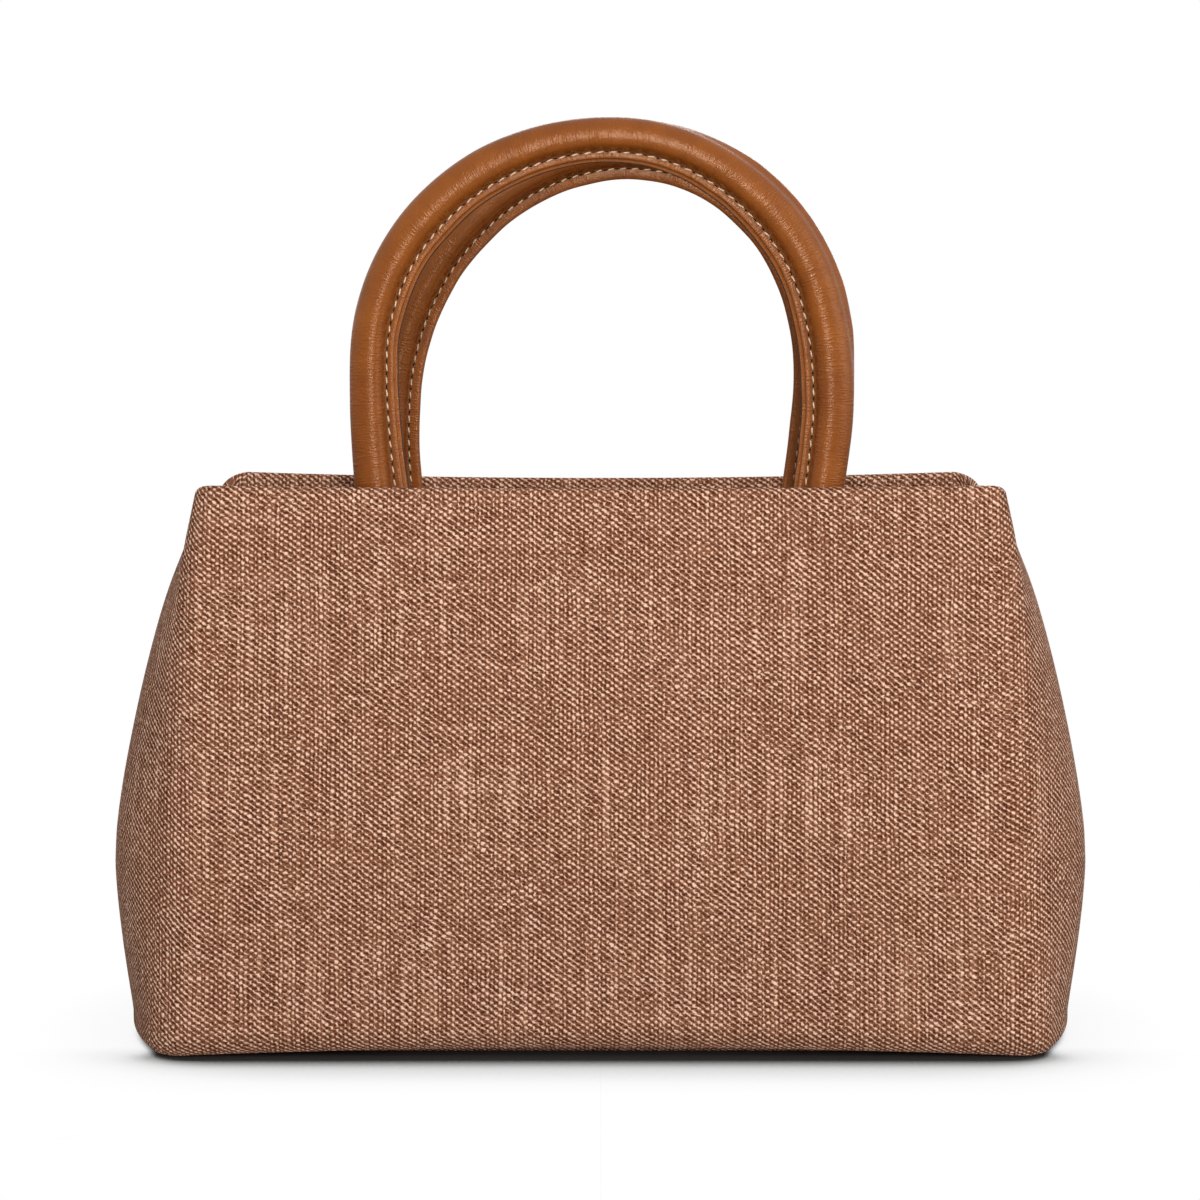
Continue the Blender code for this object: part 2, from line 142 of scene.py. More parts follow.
def grainNoise(tree, vector, scale, detail=2.0, roughness=0.5, space="3D"):
    node = addNode(tree, "ShaderNodeTexNoise", noise_dimensions=space)
    feed(tree, node.inputs["Vector"], vector)
    feed(tree, node.inputs["Scale"], scale)
    node.inputs["Detail"].default_value = detail
    node.inputs["Roughness"].default_value = roughness
    return node.outputs[0]


def colourNoise(tree, vector, scale, detail, space="3D"):
    # Three unlike noises at once, one in each channel.
    node = addNode(tree, "ShaderNodeTexNoise", noise_dimensions=space)
    feed(tree, node.inputs["Vector"], vector)
    node.inputs["Scale"].default_value = scale
    node.inputs["Detail"].default_value = detail
    return node.outputs["Color"]


def startGroup(name, inputs, outputs):
    group = bpy.data.node_groups.new(name, "ShaderNodeTree")
    for label, kind, value in inputs:
        socket = group.interface.new_socket(name=label, in_out="INPUT", socket_type=kind)
        if value is not None:
            socket.default_value = value
    for label, kind in outputs:
        group.interface.new_socket(name=label, in_out="OUTPUT", socket_type=kind)
    return group, addNode(group, "NodeGroupInput").outputs, addNode(group, "NodeGroupOutput").inputs


def placeGroup(tree, group, **values):
    node = addNode(tree, "ShaderNodeGroup", node_tree=group)
    for label, value in values.items():
        feed(tree, node.inputs[label], value)
    return node.outputs


numberSocket = "NodeSocketFloat"
vectorSocket = "NodeSocketVector"
colourSocket = "NodeSocketColor"


def makeWeaveGroup():
    # Light and dark threads crossing each other, with painted shade in the pits between them and a painted
    # highlight on the pale crests; the map is in metres along the cloth.
    group, given, out = startGroup(
        "wovenThreads",
        [("Map", vectorSocket, None), ("Column", numberSocket, 0.00143), ("Row", numberSocket, 0.00106),
         ("Link", numberSocket, 0.5), ("Wander", numberSocket, 1.1), ("Stray", numberSocket, 0.75),
         ("Slub", numberSocket, 0.2), ("Dark", colourSocket, (0.1, 0.04, 0.02, 1)),
         ("Middle", colourSocket, (0.3, 0.15, 0.09, 1)), ("Light", colourSocket, (0.8, 0.5, 0.35, 1))],
        [("Colour", colourSocket), ("Height", numberSocket), ("Thread", numberSocket)])
    along = split(group, given["Map"])
    drifts = split(group, colourNoise(group, given["Map"], 38, 3))

    def shifted(value, noiseValue, amount):
        return calc(group, "MULTIPLY_ADD", calc(group, "SUBTRACT", noiseValue, 0.5), amount, value)

    def thread(distance, pitch, drift):
        # Count of threads crossed so far; they wander and lie unevenly close.
        count = shifted(calc(group, "DIVIDE", distance, pitch), drift, given["Wander"])
        uneven = addNode(group, "ShaderNodeTexNoise", noise_dimensions="1D")
        feed(group, uneven.inputs["W"], count)
        uneven.inputs["Scale"].default_value = 0.45
        uneven.inputs["Detail"].default_value = 1
        return calc(group, "MULTIPLY_ADD", uneven.outputs[0], 0.45, count)

    def wave(turns):
        return calc(group, "COSINE", calc(group, "MULTIPLY", turns, pi))

    column = thread(along[0], given["Column"], drifts[0])
    row = thread(along[1], given["Row"], drifts[1])
    strays = split(group, colourNoise(group, join(group, column, row), 1.0, 1, "2D"))
    # In places the threads stray further, and the slope of the weave grows faint.
    loose = spread(group, grainNoise(group, given["Map"], 42, 1), 0.40, 0.68, 0.9, 1.35)
    loose = calc(group, "MULTIPLY", loose, given["Stray"])
    column = shifted(column, strays[0], loose)
    row = shifted(row, strays[1], loose)
    ridge = calc(group, "MULTIPLY_ADD", wave(calc(group, "ADD", column, row)), 0.5, 0.5)
    knot = calc(group, "MULTIPLY_ADD", wave(calc(group, "SUBTRACT", column, row)), 0.5, 0.5)
    patches = grainNoise(group, given["Map"], 75, 2)
    linked = shifted(given["Link"], patches, 1.4)
    # Light where a pale thread lies on top, with a painted highlight on its crest, linked along the slope,
    # and painted shade in the pits between.
    dots = calc(group, "MULTIPLY", calc(group, "POWER", knot, 1.5), 1.3)
    pale = calc(group, "MULTIPLY_ADD", calc(group, "SUBTRACT", 1.0, linked), dots, linked)
    pale = calc(group, "MULTIPLY", calc(group, "POWER", ridge, 2.6), pale)
    pit = calc(group, "MULTIPLY", calc(group, "SUBTRACT", 1.0, ridge),
               calc(group, "MULTIPLY_ADD", knot, -0.88, 1.0))
    over = calc(group, "MULTIPLY_ADD", pale, 0.75, calc(group, "MULTIPLY_ADD", pit, -0.42, 0.41))

    def streaks(across, length, detail):
        where = join(group, calc(group, "MULTIPLY", column, across), calc(group, "MULTIPLY", row, length))
        return grainNoise(group, where, 1.0, detail, space="2D")

    fine = grainNoise(group, join(group, column, row), 1.9, 2, space="2D")
    share = shifted(over, fine, 0.95)
    share = shifted(share, patches, -0.16)
    share = shifted(share, streaks(1.0, 0.05, 1), given["Slub"])
    share = shifted(share, streaks(0.05, 1.0, 1), calc(group, "MULTIPLY", given["Slub"], 0.5))
    upright = calc(group, "MULTIPLY_ADD", grainNoise(group, given["Map"], 60, 1), 0.45, -0.075)
    share = calc(group, "MULTIPLY_ADD", wave(calc(group, "MULTIPLY", column, 2.0)), upright, share)
    slub = spread(group, streaks(1.9, 0.018, 0), 0.65, 0.72)
    share = calc(group, "MULTIPLY_ADD", slub, calc(group, "MULTIPLY", given["Slub"], 1.6), share)
    slub = spread(group, streaks(0.018, 1.9, 0), 0.67, 0.74)
    share = calc(group, "MULTIPLY_ADD", slub, calc(group, "MULTIPLY", given["Slub"], 0.9), share)

    tone = mixTones(group, spread(group, share, 0.02, 0.47), given["Dark"], given["Middle"])
    tone = mixTones(group, spread(group, share, 0.53, 1.15), tone, given["Light"])
    feed(group, out["Colour"], tone)
    feed(group, out["Height"], calc(group, "MULTIPLY_ADD", fine, 0.3, over))
    feed(group, out["Thread"], share)
    return group


def makeLeatherGroup():
    # Creases run along the map's X, across the roll, and the grain is finer than they are.
    group, given, out = startGroup(
        "leatherGrain",
        [("Map", vectorSocket, None), ("Crease Length", numberSocket, 0.0035),
         ("Crease Pitch", numberSocket, 0.0006), ("Grain", numberSocket, 0.0005),
         ("Crease", numberSocket, 0.6)],
        [("Height", numberSocket), ("Tone", numberSocket), ("Wear", numberSocket)])
    along = split(group, given["Map"])
    creaseMap = join(group, calc(group, "DIVIDE", along[0], given["Crease Length"]),
                     calc(group, "DIVIDE", along[1], given["Crease Pitch"]))
    crease = grainNoise(group, creaseMap, 1.0, 1, space="2D")
    crease = calc(group, "ABSOLUTE", calc(group, "MULTIPLY_ADD", crease, 2.0, -1.0))
    places = spread(group, grainNoise(group, given["Map"], 60, 2), 0.35, 0.65, 0.25, 1.0)
    crease = calc(group, "MULTIPLY", calc(group, "MULTIPLY", crease, places), given["Crease"])
    cells = addNode(group, "ShaderNodeTexVoronoi", feature="SMOOTH_F1")
    feed(group, cells.inputs["Vector"], given["Map"])
    feed(group, cells.inputs["Scale"], calc(group, "DIVIDE", 1.0, given["Grain"]))
    cells.inputs["Smoothness"].default_value = 0.6
    pores = grainNoise(group, given["Map"], 2600, 2)
    height = calc(group, "MULTIPLY_ADD", cells.outputs["Distance"], 0.1, crease)
    feed(group, out["Height"], calc(group, "MULTIPLY_ADD", pores, 0.08, height))
    broad = grainNoise(group, given["Map"], 14, 3)
    cloudy = grainNoise(group, given["Map"], 90, 4, 0.6)
    feed(group, out["Tone"], calc(group, "MULTIPLY_ADD", cloudy, 0.45, calc(group, "MULTIPLY", broad, 0.55)))
    feed(group, out["Wear"], grainNoise(group, given["Map"], 320, 3))
    return group


def makeMottleGroup():
    # Slow unevenness in a finish, and the fine speckle on top of it.
    group, given, out = startGroup(
        "mottle",
        [("Map", vectorSocket, None), ("Broad", numberSocket, 30.0), ("Speckle", numberSocket, 900.0)],
        [("Tone", numberSocket), ("Height", numberSocket)])
    broad = grainNoise(group, given["Map"], given["Broad"], 3)
    speckle = grainNoise(group, given["Map"], given["Speckle"], 2)
    feed(group, out["Tone"], calc(group, "MULTIPLY_ADD", speckle, 0.4, calc(group, "MULTIPLY", broad, 0.6)))
    feed(group, out["Height"], speckle)
    return group


weaveGroup = makeWeaveGroup()
leatherGroup = makeLeatherGroup()
mottleGroup = makeMottleGroup()


def startMaterial(name):
    material = bpy.data.materials.new(name)
    material.use_nodes = True
    tree = material.node_tree
    shader = tree.nodes["Principled BSDF"]
    return material, tree, shader


def mapOf(tree):
    # The map laid on each piece in mesh code, in metres along the cloth or leather.
    return addNode(tree, "ShaderNodeUVMap", uv_map="layMap").outputs[0]


def bump(tree, shader, height, distance, strength=1.0):
    node = addNode(tree, "ShaderNodeBump")
    node.inputs["Strength"].default_value = strength
    node.inputs["Distance"].default_value = distance
    feed(tree, node.inputs["Height"], height)
    feed(tree, shader.inputs["Normal"], node.outputs[0])


# The roughness runs from the dark threads to the pale ones.
# The light tone is the pale thread with a painted highlight on its crest; the dark tone is painted shade in
# the pits.
clothLook = {
    "column": 0.00143, "row": 0.00106, "link": 0.50, "wander": 1.1, "stray": 0.75, "slub": 0.15,
    "dark": (0.080, 0.019, 0.007, 1), "middle": (0.305, 0.124, 0.064, 1), "light": (0.98, 0.66, 0.49, 1),
    "roughness": (0.92, 0.78), "relief": 0.00035,
}

liningLook = {
    "column": 0.0006, "row": 0.0005, "link": 0.85, "wander": 0.6, "stray": 0.3, "slub": 0.3,
    "dark": (0.13, 0.075, 0.042, 1), "middle": (0.24, 0.150, 0.088, 1), "light": (0.34, 0.225, 0.14, 1),
    "roughness": (0.85, 0.7), "relief": 0.0001,
}


def makeClothMaterial(name, look):
    material, tree, shader = startMaterial(name)
    weave = placeGroup(tree, weaveGroup, Map=mapOf(tree), Column=look["column"], Row=look["row"],
                       Link=look["link"], Wander=look["wander"], Stray=look["stray"], Slub=look["slub"],
                       Dark=look["dark"], Middle=look["middle"], Light=look["light"])
    feed(tree, shader.inputs["Base Color"], weave["Colour"])
    feed(tree, shader.inputs["Roughness"],
         spread(tree, weave["Thread"], 0, 1, *look["roughness"], "LINEAR"))
    shader.inputs["Specular IOR Level"].default_value = 0.1
    bump(tree, shader, weave["Height"], look["relief"])
    return material


# The rubbed tone is a worn edge with a painted highlight on it.
leatherLook = {
    "deep": (0.186, 0.042, 0.003, 1), "bright": (0.290, 0.076, 0.006, 1), "rubbedAndPaintedLight": (0.50, 0.21, 0.085, 1),
    "paintedGrooveShade": (0.045, 0.011, 0.001, 1), "roughness": (0.27, 0.34), "relief": 0.0006, "grain": 0.0006,
    "creaseLength": 0.006, "creasePitch": 0.0011, "crease": 0.34, "ior": 1.52, "tint": (1.0, 0.70, 0.48, 1),
}

tabLook = {**leatherLook, "creasePitch": 0.0016, "creaseLength": 0.004, "crease": 0.25}


def makeLeatherMaterial(name, look):
    material, tree, shader = startMaterial(name)
    grain = placeGroup(tree, leatherGroup, Map=mapOf(tree), Grain=look["grain"], Crease=look["crease"],
                       **{"Crease Length": look["creaseLength"], "Crease Pitch": look["creasePitch"]})
    tone = mixTones(tree, spread(tree, grain["Tone"], 0.3, 0.7), look["deep"], look["bright"])
    # Pale where edges are rubbed, with a painted highlight along them; painted shade darkens the groove
    # along the needle's line.
    rubbedAndPaintedLight = addNode(tree, "ShaderNodeAttribute", attribute_name="rubbedAndPaintedLight").outputs["Fac"]
    patchy = calc(tree, "MULTIPLY", calc(tree, "MAXIMUM", rubbedAndPaintedLight, 0.0),
                  spread(tree, grain["Wear"], 0.25, 0.6, 0.35, 1.0))
    tone = mixTones(tree, patchy, tone, look["rubbedAndPaintedLight"])
    # Painted shade: where the third profile value is negative, the leather darkens into the stitch groove.
    paintedGrooveShade = calc(tree, "MAXIMUM", calc(tree, "MULTIPLY", rubbedAndPaintedLight, -1.0), 0.0)
    tone = mixTones(tree, paintedGrooveShade, tone, look["paintedGrooveShade"])
    feed(tree, shader.inputs["Base Color"], tone)
    feed(tree, shader.inputs["Roughness"], spread(tree, grain["Wear"], 0.3, 0.7, *look["roughness"]))
    shader.inputs["IOR"].default_value = look["ior"]
    shader.inputs["Specular Tint"].default_value = look["tint"]
    bump(tree, shader, grain["Height"], look["relief"])
    return material


edgeLook = {"dark": (0.050, 0.019, 0.009, 1), "pale": (0.10, 0.042, 0.020, 1), "roughness": (0.55, 0.75)}
boardLook = {"dark": (0.25, 0.20, 0.14, 1), "pale": (0.42, 0.35, 0.26, 1), "roughness": (0.8, 0.95)}
# The needle holes are painted shade: near-black pills beside the stitches.
holeLook = {"dark": (0.012, 0.004, 0.001, 1), "pale": (0.030, 0.010, 0.003, 1), "roughness": (0.8, 0.95)}


def makeMottledMaterial(name, look, ownMap=True, broad=120.0, speckle=1800.0, relief=0.00008):
    material, tree, shader = startMaterial(name)
    where = mapOf(tree) if ownMap else addNode(tree, "ShaderNodeTexCoord").outputs["Object"]
    mottle = placeGroup(tree, mottleGroup, Map=where, Broad=broad, Speckle=speckle)
    feed(tree, shader.inputs["Base Color"],
         mixTones(tree, spread(tree, mottle["Tone"], 0.3, 0.7), look["dark"], look["pale"]))
    feed(tree, shader.inputs["Roughness"], spread(tree, mottle["Tone"], 0.3, 0.7, *look["roughness"]))
    shader.inputs["IOR"].default_value = 1.25
    bump(tree, shader, mottle["Height"], relief)
    return material


threadLook = {"shade": (0.76, 0.50, 0.29, 1), "lit": (0.98, 0.76, 0.52, 1), "twist": 0.00045}
seamThreadLook = {"shade": (0.16, 0.075, 0.04, 1), "lit": (0.36, 0.19, 0.115, 1), "twist": 0.0004}


def makeThreadMaterial(name, look):
    # Two plies twisted together: the map's X runs round the stitch and its Y along it.
    material, tree, shader = startMaterial(name)
    where = mapOf(tree)
    along = split(tree, where)
    turns = calc(tree, "DIVIDE", calc(tree, "ADD", along[0], along[1]), look["twist"])
    ply = calc(tree, "MULTIPLY_ADD", calc(tree, "SINE", calc(tree, "MULTIPLY", turns, 2 * pi)), 0.5, 0.5)
    mottle = placeGroup(tree, mottleGroup, Map=where, Broad=220.0, Speckle=3000.0)
    share = calc(tree, "MULTIPLY_ADD", mottle["Tone"], 0.9, calc(tree, "MULTIPLY", ply, 0.4))
    tone = mixTones(tree, spread(tree, share, 0.2, 0.9), look["shade"], look["lit"])
    feed(tree, shader.inputs["Base Color"], tone)
    feed(tree, shader.inputs["Roughness"], spread(tree, ply, 0, 1, 0.75, 0.55))
    bump(tree, shader, ply, 0.0001)
    return material


metalLook = {"deep": (0.60, 0.44, 0.20, 1), "bright": (0.86, 0.70, 0.42, 1), "roughness": (0.16, 0.34)}


def makeMetalMaterial(name, look):
    material, tree, shader = startMaterial(name)
    where = addNode(tree, "ShaderNodeTexCoord").outputs["Object"]
    mottle = placeGroup(tree, mottleGroup, Map=where, Broad=160.0, Speckle=2400.0)
    feed(tree, shader.inputs["Base Color"],
         mixTones(tree, spread(tree, mottle["Tone"], 0.35, 0.65), look["deep"], look["bright"]))
    shader.inputs["Metallic"].default_value = 1.0
    feed(tree, shader.inputs["Roughness"], spread(tree, mottle["Tone"], 0.3, 0.7, *look["roughness"]))
    bump(tree, shader, mottle["Height"], 0.00002)
    return material


def makeStage():
    mesh = bpy.data.meshes.new("floor")
    bm = bmesh.new()
    bmesh.ops.create_grid(bm, x_segments=2, y_segments=2, size=40)
    bm.to_mesh(mesh)
    bm.free()
    floorPiece = link(bpy.data.objects.new("floor", mesh))
    material, tree, shader = startMaterial("paleFloor")
    shader.inputs["Roughness"].default_value = 0.9
    shader.inputs["Specular IOR Level"].default_value = 0.1
    # The lens sees the open floor as white, and its shade close to the bag stays.
    glow = addNode(tree, "ShaderNodeEmission")
    glow.inputs["Color"].default_value = (1, 1, 1, 1)
    clear = {}
    for key in ("bounceReach", "contactReach", "softReach"):
        near = addNode(tree, "ShaderNodeAmbientOcclusion", samples=8)
        near.inputs["Distance"].default_value = stageLook[key]
        clear[key] = near.outputs["AO"]
    path = addNode(tree, "ShaderNodeLightPath")
    # Only the strip right beside the bag throws light up under its roll.
    near = spread(tree, clear["softReach"], 0.5, 0.8, stageLook["nearBounce"], stageLook["shade"])
    least = spread(tree, path.outputs["Is Camera Ray"], 0, 1, near, stageLook["shade"], "LINEAR")
    shade = spread(tree, clear["bounceReach"], 0.5, 0.97, least, stageLook["open"])
    feed(tree, shader.inputs["Base Color"], join(tree, shade, shade, shade))
    # Painted shadow: the floor's position along Y makes the soft shade stronger in front of the bag than
    # beside it.
    forward = split(tree, addNode(tree, "ShaderNodeNewGeometry").outputs["Position"])[1]
    sides = spread(tree, forward, -0.066, -0.04)
    soft = spread(tree, sides, 0, 1, stageLook["softFront"], stageLook["softSides"], "LINEAR")
    contact = spread(tree, clear["contactReach"], spread(tree, sides, 0, 1, 0.5, 0.06),
                     spread(tree, sides, 0, 1, 0.97, 0.5))
    openness = calc(tree, "MULTIPLY", contact, spread(tree, clear["softReach"], 0.5, 0.97, soft, 1.0))
    seen = calc(tree, "MULTIPLY", openness, path.outputs["Is Camera Ray"])
    mixer = addNode(tree, "ShaderNodeMixShader")
    feed(tree, mixer.inputs[0], seen)
    feed(tree, mixer.inputs[1], shader.outputs[0])
    feed(tree, mixer.inputs[2], glow.outputs[0])
    feed(tree, tree.nodes["Material Output"].inputs["Surface"], mixer.outputs[0])
    mesh.materials.append(material)

    world = bpy.data.worlds.new("studio")
    bpy.context.scene.world = world
    world.use_nodes = True
    tree = world.node_tree
    path = addNode(tree, "ShaderNodeLightPath")
    seen = calc(tree, "MAXIMUM", path.outputs["Is Camera Ray"], path.outputs["Is Glossy Ray"])
    seen = calc(tree, "MAXIMUM", seen, path.outputs["Is Transmission Ray"])
    back = tree.nodes["Background"]
    back.inputs["Color"].default_value = (1, 1, 1, 1)
    strength = spread(tree, seen, 0, 1, stageLook["ambient"], 1.0, "LINEAR")
    feed(tree, back.inputs["Strength"], strength)


makeCamera()
makeLamps()
makeStage()
bpy.context.scene.view_settings.view_transform = "Standard"
print("stage: camera, lamps and floor")

materials = {
    "cloth": makeClothMaterial("wovenCloth", clothLook),
    "lining": makeClothMaterial("liningTwill", liningLook),
    "leather": makeLeatherMaterial("rolledLeather", leatherLook),
    "tabLeather": makeLeatherMaterial("tabLeather", tabLook),
    "edge": makeMottledMaterial("paintedEdge", edgeLook),
    "hole": makeMottledMaterial("paintedHoleShade", holeLook),
    "board": makeMottledMaterial("bagBoard", boardLook, ownMap=False),
    "thread": makeThreadMaterial("paleThread", threadLook),
    "seamThread": makeThreadMaterial("tonalThread", seamThreadLook),
    "metal": makeMetalMaterial("paleGoldPlate", metalLook),
}
print("materials:", ", ".join(sorted(materials)))

# ---- the bag's form, the same sizes as the frame's

bag = {
    "height": 0.190, "mouthDepth": 0.085, "baseDepth": 0.125,
    "mouthWidth": 0.2712, "bellyWidth": 0.3074, "footWidth": 0.3036, "bellyHeight": 0.069,
    "sideCurve": 1.4, "footRadius": 0.009, "sideFootRadius": 0.005,
    "cornerRim": 0.008, "cornerBelly": 0.020, "cornerFoot": 0.013,
    "baseInset": 0.015, "footLift": 0.0027,
}

gusset = {
    "bulge": 0.0156, "belly": 0.058, "tuck": 0.0062, "tuckCurve": 1.5, "taper": 0.0115, "taperCurve": 1.2,
    "pinch": 0.0141, "pinchCurve": 8, "dip": 0.001,
}

rimLine = {
    "front": {"rise": 0.0, "sag": 0.0010, "drop": 0.0030, "curve": 3},
    "rear": {"rise": 0.0014, "sag": 0.0022, "drop": 0.0065, "curve": 1.6},
}

layers = {"cloth": 0.0011, "board": 0.0010, "lining": 0.0006, "baseBoard": 0.0018, "gap": 0.0003,
          "facing": 0.032}
foldWidth = 2 * layers["cloth"] + layers["board"] + 2 * layers["gap"]
liningDepth = layers["cloth"] + layers["board"] + 2 * layers["gap"]
wallLean = atan((bag["baseDepth"] - bag["mouthDepth"]) / 2 / (bag["height"] - bag["footRadius"]))

# The walls swell between footHold and rimHold; the halves are the ripples' reach on each wall.
softness = {
    "crown": 0.0008, "crownCurve": 2.2, "crownTop": 0.185, "footHold": (0.008, 0.035),
    "rimHold": (0.168, 0.186), "ripple": 0.00035, "rippleSize": 0.055, "gussetRipple": 0.0002,
    "panelHalf": 0.145, "gussetHalf": 0.05, "seamDip": 0.0004, "liningSlack": 0.0009,
    "slackWide": 0.03, "slackTall": 0.045, "slackReach": 0.15,
}
uprightSides = ("front", "rear")


def smooth(t):
    t = min(max(t, 0.0), 1.0)
    return t * t * (3 - 2 * t)


def ease(value, low, high):
    return smooth((value - low) / (high - low))


def halfWidth(z):
    if z > bag["bellyHeight"]:
        up = (z - bag["bellyHeight"]) / (bag["height"] - bag["bellyHeight"])
        return (bag["bellyWidth"] - (bag["bellyWidth"] - bag["mouthWidth"]) * up ** bag["sideCurve"]) / 2
    down = 1 - z / bag["bellyHeight"]
    return (bag["bellyWidth"] - (bag["bellyWidth"] - bag["footWidth"]) * down ** 2) / 2


def halfDepth(z):
    up = (z - bag["footRadius"]) / (bag["height"] - bag["footRadius"])
    return (bag["baseDepth"] + (bag["mouthDepth"] - bag["baseDepth"]) * up) / 2


def gussetBulge(z):
    if z > gusset["belly"]:
        up = (z - gusset["belly"]) / (bag["height"] - gusset["belly"])
        return (gusset["bulge"] - gusset["taper"] * up ** gusset["taperCurve"]
                - gusset["pinch"] * up ** gusset["pinchCurve"])
    down = 1 - z / gusset["belly"]
    return gusset["bulge"] - gusset["tuck"] * down ** gusset["tuckCurve"]


def cornerRadius(z):
    # The cloth turns wide round the belly and tighter at the rim and at the foot.
    wide = bag["cornerBelly"]
    if z > bag["bellyHeight"]:
        return wide + (bag["cornerRim"] - wide) * ease(z, bag["bellyHeight"], bag["height"])
    return wide + (bag["cornerFoot"] - wide) * (1 - z / bag["bellyHeight"]) ** 2


def cornerFrame(z, inset):
    corner = max(cornerRadius(z) - inset, 0.0008)
    across = halfWidth(z) - inset - corner
    out = halfDepth(z) - inset - corner
    return corner, across, out, 2 * atan(gussetBulge(z) / out)


def panelPlan(u, z, inset):
    # u from -1 to 1 runs along the flat; beyond it the cloth turns the upright corner. Third: map's X.
    corner, across, out, angle = cornerFrame(z, inset)
    if abs(u) <= 1:
        return u * across, -(out + corner), u * across
    turn = (abs(u) - 1) * (pi / 2 - angle)
    return (copysign(across + corner * sin(turn), u), -(out + corner * cos(turn)),
            copysign(across + corner * turn, u))


def gussetPlan(u, z, inset):
    corner, across, out, angle = cornerFrame(z, inset)
    angle = angle if abs(angle) > 1e-4 else 1e-4
    reach = out + corner * sin(angle)
    swing = u * angle
    side = across + corner * cos(angle) + reach * (cos(swing) - cos(angle)) / sin(angle)
    # The map carries on from the front panel's, so that the weave runs round the corner.
    seam = across + corner * (pi / 2 - angle)
    return -side, reach * sin(swing) / sin(angle), seam + reach / sin(angle) * (swing + angle)


def panelRim(side, u):
    line = rimLine[side]
    if abs(u) <= 1:
        return bag["height"] + line["rise"] - line["sag"] * (1 - u ** 2)
    return bag["height"] + line["rise"] - line["drop"] * (abs(u) - 1) ** line["curve"]


def gussetRim(u):
    front, rear = panelRim("front", 2), panelRim("rear", 2)
    return front + (rear - front) * (u + 1) / 2 - gusset["dip"] * (1 - u ** 2)


def rimHeight(side, u):
    return panelRim(side, u) if side in uprightSides else gussetRim(u)


def footRoll(upright, u):
    if not upright:
        return bag["sideFootRadius"], 0.0
    radius = bag["footRadius"] + (bag["sideFootRadius"] - bag["footRadius"]) * max(abs(u) - 1, 0)
    return radius, bag["footLift"] * max(1 - u ** 2, 0)


def steps(stretch, count, first=0):
    return [(stretch, k / count) for k in range(first, count + 1)]


underSteps = steps("under", 4)
footSteps = steps("foot", 8)[:-1]
wallSteps = steps("wall", 44)
mouthSteps = steps("mouth", 8, 1)
foldSteps = steps("fold", 12, 1)
facingSteps = steps("facing", 8)[-2::-1]
clothSteps = underSteps + footSteps + wallSteps + mouthSteps + foldSteps + facingSteps
liningSteps = underSteps + footSteps + wallSteps


def sectionPoint(step, depth, rim, lift, foot, trim):
    # One place on the wall's section: inset from the outside, height, and the map's Y.
    stretch, t = step
    facingEnd = rim - layers["facing"]
    foldStart = rim - foldWidth / 2
    if stretch == "under":
        inset = foot + (bag["baseInset"] - foot) * (1 - t)
        return inset, lift * smooth(t) + depth, -(inset - foot)
    if stretch == "foot":
        reach = foot - depth
        turn = t * pi / 2
        return foot - reach * sin(turn), foot + lift - reach * cos(turn), foot * turn
    if stretch == "wall":
        low = foot + lift
        z = low + (facingEnd - trim - low) * t
        return depth, z, foot * pi / 2 + (z - low) / cos(wallLean)
    rise = foot * pi / 2 + (foldStart - foot - lift) / cos(wallLean)
    if stretch == "fold":
        reach = foldWidth / 2 - depth
        turn = t * pi
        return foldWidth / 2 - reach * cos(turn), foldStart + reach * sin(turn), rise + foldWidth / 2 * turn
    z = facingEnd + (foldStart - facingEnd) * t
    if stretch == "mouth":
        return depth, z, rise - (foldStart - z) / cos(wallLean)
    return foldWidth - depth, z, rise + foldWidth / 2 * pi + (foldStart - z) / cos(wallLean)


def seamDip(nearness):
    return softness["seamDip"] * (1 - sqrt(1 - (1 - nearness) ** 2))


def reachOf(upright):
    return softness["panelHalf" if upright else "gussetHalf"]


def softSwell(side, u, z, seamAt):
    # How far the cloth stands out from the board: a low crown, slow ripples, and the dip at a seam.
    upright = side in uprightSides
    hold = ease(z, *softness["footHold"]) * (1 - ease(z, *softness["rimHold"]))
    middle = max(1 - abs(u) ** softness["crownCurve"], 0) if upright else 0.0
    swell = softness["crown"] * middle * sin(pi * min(max(z / softness["crownTop"], 0), 1))
    size = softness["rippleSize"]
    unlike = {"front": 0, "rear": 5, "left": 9, "right": 14}[side]
    place = Vector((u * reachOf(upright) / size, z / size, unlike))
    amount = softness["ripple"] if upright else softness["gussetRipple"]
    swell += amount * (noise.noise(place) + 0.4 * noise.noise(place * 2.3) + (0.5 if upright else 0))
    return swell * hold - seamDip(seamAt) * ease(z, 0.0, 0.006)


wallMirror = {"front": (1, 1), "rear": (1, -1), "left": (1, 1), "right": (-1, 1)}


def wallPoint(side, u, step, depth, trim=0.0, swell=None):
    upright = side in uprightSides
    foot, lift = footRoll(upright, u)
    inset, z, mapY = sectionPoint(step, depth, rimHeight(side, u), lift, foot, trim)
    if swell is not None and step[0] in ("wall", "mouth", "foot"):
        inset -= swell(side, u, z)
    plan = panelPlan if upright else gussetPlan
    x, y, mapX = plan(u, max(z, bag["footRadius"]), inset)
    flipX, flipY = wallMirror[side]
    return Vector((x * flipX, y * flipY, z)), (mapX * flipX * flipY * (1 if upright else -1), mapY)


def finishMesh(name, bm, mats, smoothAngle=0.7, parent=None):
    bmesh.ops.recalc_face_normals(bm, faces=bm.faces)
    mesh = bpy.data.meshes.new(name)
    bm.to_mesh(mesh)
    bm.free()
    mesh.shade_smooth()
    mesh.set_sharp_from_angle(angle=smoothAngle)
    for material in mats:
        mesh.materials.append(material)
    piece = link(bpy.data.objects.new(name, mesh))
    piece.parent = parent
    return piece


